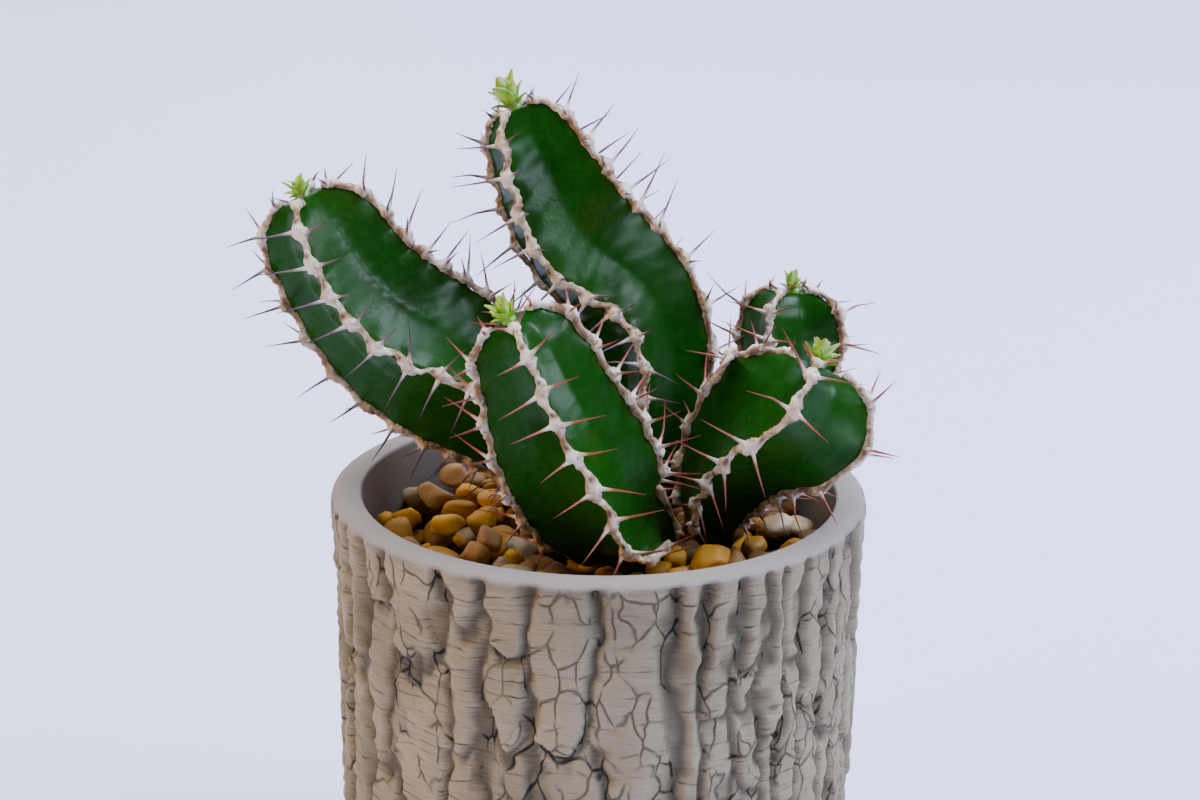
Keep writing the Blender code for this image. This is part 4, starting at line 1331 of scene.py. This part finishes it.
@dataclass
class LeafTuft:
    """The small leaves at a stem's apex, round a bud."""

    stem: Stem
    leaves: int
    length: float
    seed: int
    width_share: float = 0.24
    thickness: float = 0.16 * MM
    foot_offset: float = 0.5 * MM
    leaf_turn: float = 2.4
    opening: tuple[float, float] = (0.2, 1.2)
    rows: int = 12
    sides: int = 12
    bud_height: float = 1.6 * MM
    bud_radius: float = 1.25 * MM
    bud_sides: int = 14

    def piece(self, material: bpy.types.Material) -> None:
        """Builds the tuft.

        A blade is a flat tube. Its half width follows sin(pi t^0.8)^0.8 from its foot to its
        pointed end, its two halves fold up along the midrib, and its line arches outwards. The
        bud is an egg at the foot of the leaves.

        Args:
            material: The leaf's finish.
        """
        chance = np.random.default_rng(self.seed)
        end = np.array([self.stem.last(self.stem.apex_radius)])
        foot, up, normal, side = (
            self.stem.at(end, key)[0] for key in ("centre", "tangent", "normal", "side")
        )
        count = self.leaves
        angle = np.arange(count) * self.leaf_turn + chance.normal(size=count) * 0.2
        out = swing(angle, normal, side)
        beside = np.cross(up, out)
        share = np.linspace(0, 1, self.rows)
        opened = np.linspace(*self.opening, count) + chance.normal(size=count) * 0.12
        arch = opened[:, None] * (0.55 + 0.7 * share)
        grown = self.length * np.linspace(1.0, 0.6, count) * chance.uniform(0.8, 1.05, count)
        along, over = swing(arch, up, out[:, None]), swing(arch, -out[:, None], up)
        line = np.cumsum(along, axis=1) * grown[:, None, None] / self.rows
        line = foot + self.foot_offset * out[:, None] + line
        outline = np.sin(math.pi * (0.04 + 0.92 * share**0.8)) ** 0.8
        turn = around(self.sides)
        flat = (self.width_share * grown[:, None] * outline)[..., None] * np.cos(turn)
        fold = 0.45 * abs(flat) + self.thickness * np.sin(turn) * (1 - 0.6 * share[:, None])
        blades = line[:, :, None] + flat[..., None] * beside[:, None, None]
        blades = blades + fold[..., None] * over[:, :, None]
        form = Form()
        form.add_tubes(blades, rib=1 - abs(np.cos(turn)), reach=share[:, None])
        height = np.linspace(-0.97, 0.97, 9)[:, None, None]
        ring = np.sqrt(1 - height**2) * swing(around(self.bud_sides), normal, side)
        egg = foot + self.bud_height * height * up + self.bud_radius * ring
        form.add_tubes(egg[None], rib=np.array([0.3]), reach=np.zeros(1))
        name = self.stem.name
        form.piece(f"tuft_{name}", f"leaves_{name}", Slot.LEAF, material)


# ---------------------------------------------------------------- gravel


def pebble(number: int) -> tuple[np.ndarray, np.ndarray]:
    """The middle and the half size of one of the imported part's larger stones."""
    low, high = (np.array(corner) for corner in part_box(f"pebble_{number:02d}"))
    return (low + high) / 2, (high - low) / 2


@dataclass
class Gravel:
    """Loose stones on the potting mix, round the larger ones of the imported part."""

    stems: list[Stem]
    floor: float = 76.3 * MM
    top: float = 82.3 * MM
    wall: float = 39.2 * MM
    radii_mm: tuple[float, float] = (2.3, 4.3)
    usual: float = 0.85
    smaller: float = 0.7
    nestle: float = 0.86
    tries: int = 40
    most: int = 260
    sides: int = 14
    seed: int = 5

    def packed(self) -> tuple[np.ndarray, np.ndarray]:
        """Drops stones one at a time into the lowest of a few random hollows.

        Returns:
            The stones' middles, and their mean radii.
        """
        chance = np.random.default_rng(self.seed)
        large = [pebble(number) for number in PEBBLES]
        middles, sizes = [middle for middle, _ in large], [half.mean() for _, half in large]
        fixed = len(middles)
        while len(middles) < self.most + fixed:
            size = chance.uniform(*self.radii_mm) * MM
            size *= 1 if chance.uniform() < self.usual else self.smaller
            turn = chance.uniform(0, TURN, self.tries)
            reach = np.sqrt(chance.uniform(0, 1, self.tries)) * (self.wall - size)
            spots = np.stack([reach * np.cos(turn), reach * np.sin(turn)], -1)
            known, radii = np.array(middles), np.array(sizes)
            apart = np.linalg.norm(spots[:, None] - known[:, :2], axis=-1)
            touch = self.nestle * (radii + size)
            lift = np.sqrt(np.maximum(touch**2 - apart**2, 0)) * (apart < touch)
            rest = np.where(apart < touch, known[:, 2] + lift, 0)
            # A hollow over a larger stone or in a stem counts as one metre up, out of the way.
            rest[:, :fixed] = np.where(apart[:, :fixed] < touch[:fixed], 1.0, 0)
            height = np.maximum(rest.max(1), self.floor + 0.8 * size)
            places = np.column_stack([spots, height])
            for stem in self.stems:
                height = np.where(stem.clearance(places) < 0.55 * size, 1.0, height)
            best = height.argmin()
            if height[best] + 0.7 * size > self.top + 1.5 * MM:
                if len(middles) > 0.75 * self.most:
                    break
                continue
            middles.append(np.array([*spots[best], height[best]]))
            sizes.append(size)
        return np.array(middles[fixed:]), np.array(sizes[fixed:])

    def stones(
        self, middles: np.ndarray, half: np.ndarray, grid: tuple[int, int], seed: int
    ) -> Form:
        """Stones as closed blobs.

        A stone is a ball worn flat on several sides and stretched to its size. Its radius
        one way is (sum of max(way . n / d, 0)^9)^(-1/9), over the sides' normals n and distances
        d, which rounds the edges between the sides.

        Args:
            middles: The stones' middles.
            half: Their half sizes in x, y and z.
            grid: Rings and places round each.
            seed: Picks their shapes.

        Returns:
            The stones, with the point value stone, a random number each.
        """
        chance = np.random.default_rng(seed)
        count, (rings, columns) = len(middles), grid
        tilt = np.linspace(-math.pi / 2, math.pi / 2, rings + 2)[1:-1, None]
        turn = around(columns)
        ball = xyz(np.cos(tilt) * np.cos(turn), np.cos(tilt) * np.sin(turn), np.sin(tilt))
        normals = unit(chance.normal(size=(count, self.sides, 3)))
        normals /= chance.uniform(0.7, 1.05, (count, self.sides, 1))
        facing = np.einsum("rck,nsk->nrcs", ball, normals)
        swell = (np.maximum(facing, 0) ** 9).sum(-1) ** (-1 / 9)
        shift = chance.uniform(-40, 40, (count, 1, 1, 3))
        swell = swell.clip(0.5, 1.3) * (1 + 0.03 * ripples(ball + shift, 1.2, seed))
        blobs = ball * swell[..., None]
        blobs = blobs / abs(blobs).max((1, 2), keepdims=True)
        form = Form()
        form.add_tubes(
            blobs * half[:, None, None] + middles[:, None, None],
            stone=chance.uniform(0, 1, (count, 1, 1)),
        )
        return form

    def piece(self, material: bpy.types.Material) -> None:
        """Builds the small stones.

        Args:
            material: Their finish.
        """
        middles, sizes = self.packed()
        chance = np.random.default_rng(self.seed + 1)
        shares = chance.uniform([0.85, 0.85, 0.7], [1.25, 1.25, 0.95], (len(sizes), 3))
        form = self.stones(middles, sizes[:, None] * shares, (9, 14), self.seed)
        form.piece("small_stones", "gravel_bed", Slot.GRAVEL, material)

    def large(self, number: int, slot: Slot, material: bpy.types.Material) -> None:
        """Builds one of the larger stones in the box of the plain one.

        Args:
            number: The plain stone's number.
            slot: Its slot.
            material: The stone's finish.
        """
        middle, half = pebble(number)
        form = self.stones(middle[None], half[None], (18, 28), 40 + number)
        form.piece(f"stone_{number:02d}", f"pebble_{number:02d}", slot, material)


# ---------------------------------------------------------------- studio


class Shine(Enum):
    """What a light does: lights surfaces evenly, or is only mirrored in waxy and wet ones."""

    FILL = "fill"
    GLOSS = "gloss"


@dataclass
class Studio:
    """Pale paper swept up behind the pot, soft light from above and the sides, and the camera."""

    target: Vector
    distance: float = 0.375
    elevation: float = math.radians(17.695)
    roll: float = math.radians(0.79)
    lens: float = 67.5
    paper_front: float = -5.0
    paper_level: float = 1.2
    paper_bend: float = 0.5
    paper_top: float = 3.0
    paper_sides: tuple[float, float] = (-6.0, 6.0)

    def sweep(self, material: bpy.types.Material) -> None:
        """Builds the paper: level, then a quarter round, then upright, all as one sheet.

        Args:
            material: The paper's finish.
        """
        bend = np.linspace(0, math.pi / 2, 24)
        depth = self.paper_level + self.paper_bend * np.sin(bend)
        curve = zip(depth, self.paper_bend * (1 - np.cos(bend)))
        upright = (self.paper_level + self.paper_bend, self.paper_top)
        line = np.array([(self.paper_front, 0.0), *curve, upright])
        points = xyz(self.paper_sides, line[:, :1], line[:, 1:]).reshape(-1, 3)
        faces = [(2 * i, 2 * i + 1, 2 * i + 3, 2 * i + 2) for i in range(len(line) - 1)]
        mesh = bpy.data.meshes.new("sweep")
        mesh.from_pydata(points, [], faces)
        mesh.shade_smooth()
        mesh.materials.append(material)
        paper = bpy.data.objects.new("paper_sweep", mesh)
        bpy.context.scene.collection.objects.link(paper)

    def light(
        self,
        name: str,
        way: tuple[float, float, float],
        size: float,
        watts: float,
        tint: str,
        shine: Shine,
    ) -> None:
        """Adds a square soft light that faces the plant.

        Args:
            name: Its name.
            way: Degrees from +X towards +Y, degrees up and metres away, from the plant.
            size: The length of its side.
            watts: Its power.
            tint: Its colour.
            shine: What it does.
        """
        turn, rise = math.radians(way[0]), math.radians(way[1])
        level = math.cos(rise)
        out = Vector((level * math.cos(turn), level * math.sin(turn), math.sin(rise)))
        place = self.target + way[2] * out
        lamp = bpy.data.lights.new(name, "AREA")
        lamp.size = size
        lamp.energy = watts
        lamp.color = colour(tint)[:3]
        obj = bpy.data.objects.new(name, lamp)
        obj.location = place
        obj.rotation_euler = (self.target - place).to_track_quat("-Z", "Y").to_euler()
        obj.visible_camera = False
        obj.visible_glossy = shine is Shine.GLOSS
        obj.visible_diffuse = shine is Shine.FILL
        bpy.context.scene.collection.objects.link(obj)

    def surround(self, tint: str, strength: float) -> None:
        """Lights the scene evenly from all round with a pale sky.

        Args:
            tint: Its colour.
            strength: Its strength.
        """
        world = bpy.data.worlds.new("pale room")
        world.use_nodes = True
        sky = world.node_tree.nodes["Background"]
        sky.inputs["Color"].default_value = colour(tint)
        sky.inputs["Strength"].default_value = strength
        bpy.context.scene.world = world

    def camera(self) -> None:
        """Sets the camera, a little above the rim, with a small roll."""
        data = bpy.data.cameras.new("camera")
        data.lens = self.lens
        data.sensor_width = 36
        back = Vector((0, -math.cos(self.elevation), math.sin(self.elevation)))
        obj = bpy.data.objects.new("camera", data)
        obj.location = self.target + self.distance * back
        aim = (-back).to_track_quat("-Z", "Y").to_matrix()
        obj.rotation_euler = (aim @ Matrix.Rotation(self.roll, 3, "Z")).to_euler()
        bpy.context.scene.collection.objects.link(obj)
        bpy.context.scene.camera = obj


# ---------------------------------------------------------------- assembly


def main() -> None:
    """Builds every piece in order, dresses it, and sets the studio."""
    logging.basicConfig(level=logging.INFO, format="%(message)s")
    BarkPot(height=90 * MM).piece(BarkStoneware().material())
    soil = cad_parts["soil"]
    soil.data.materials.clear()
    soil.data.materials.append(PottingMix().material())

    stems = [Stem(name) for name in STEMS]
    skin = WaxySkin().material()
    fresh = HornAndSpine("horn with red-brown spines", "985040", "682e26").material()
    old = HornAndSpine("horn with weathered spines", "75545c", "3c2a30").material()
    leaf = YoungLeaf().material()
    weathered = ("left", "tall")
    tufts = {
        "left": (11, 4.2 * MM), "tall": (12, 7.0 * MM), "front": (13, 4.8 * MM),
        "right": (26, 5.6 * MM), "back_right": (10, 4.2 * MM),
    }
    for index, stem in enumerate(stems):
        stem.skin(skin)
        others = [other for other in stems if other is not stem]
        for rib in range(RIBS):
            RibMargin(stem, rib, others).piece(old if stem.name in weathered else fresh)
        LeafTuft(stem, *tufts[stem.name], seed=60 + index).piece(leaf)

    gravel = Gravel(stems)
    browns = ("4a3010", "80540e", "b47c0a", "d29812", "b47c18", "86602a", "745430", "cdb888")
    gravel.piece(RiverStone("mixed river gravel", browns).material())
    kinds = (
        (Slot.AMBER, RiverStone("amber quartz", ("a46a0a", "cc9420", "b47a12")).material()),
        (Slot.TAN, RiverStone("tan flint", ("84592a", "ac8048", "946630")).material()),
        (Slot.PALE, RiverStone("pale quartz", ("a89258", "bea878", "90794c")).material()),
    )
    for number in PEBBLES:
        gravel.large(number, *kinds[number % len(kinds)])

    studio = Studio(target=Vector((0, 0, 105.1 * MM)))
    studio.sweep(StudioPaper().material())
    studio.surround("ccd6ff", 0.12)
    for light in (
        ("ceiling softbox", (101.0, 69.9, 1.49), 3.0, 131.0, "e6eaff", Shine.FILL),
        ("cool wall", (-12.0, 45.0, 1.3), 0.9, 31.0, "bed0ff", Shine.FILL),
        ("warm wall", (-157.0, 17.0, 1.36), 0.8, 12.0, "ffcc80", Shine.FILL),
        ("bright wall", (-2.0, 40.0, 1.3), 0.6, 9.0, "d8e4ff", Shine.GLOSS),
        ("high window", (15.0, 54.0, 1.3), 0.3, 22.0, "d8e4ff", Shine.GLOSS),
        ("skylight", (4.0, 43.0, 1.3), 0.22, 14.0, "e0e8ff", Shine.GLOSS),
        ("window", (-19.0, 29.0, 1.3), 0.14, 12.0, "e0e8ff", Shine.GLOSS),
        ("front window", (-42.0, 33.0, 0.45), 0.08, 1.6, "d8e4ff", Shine.GLOSS),
        ("low window", (-52.0, -18.0, 0.3), 0.18, 4.4, "d8e4ff", Shine.GLOSS),
        ("back window", (16.0, 8.0, 1.5), 0.36, 14.0, "d8e4ff", Shine.GLOSS),
    ):
        studio.light(*light)
    studio.camera()


if __name__ == "__main__":
    main()
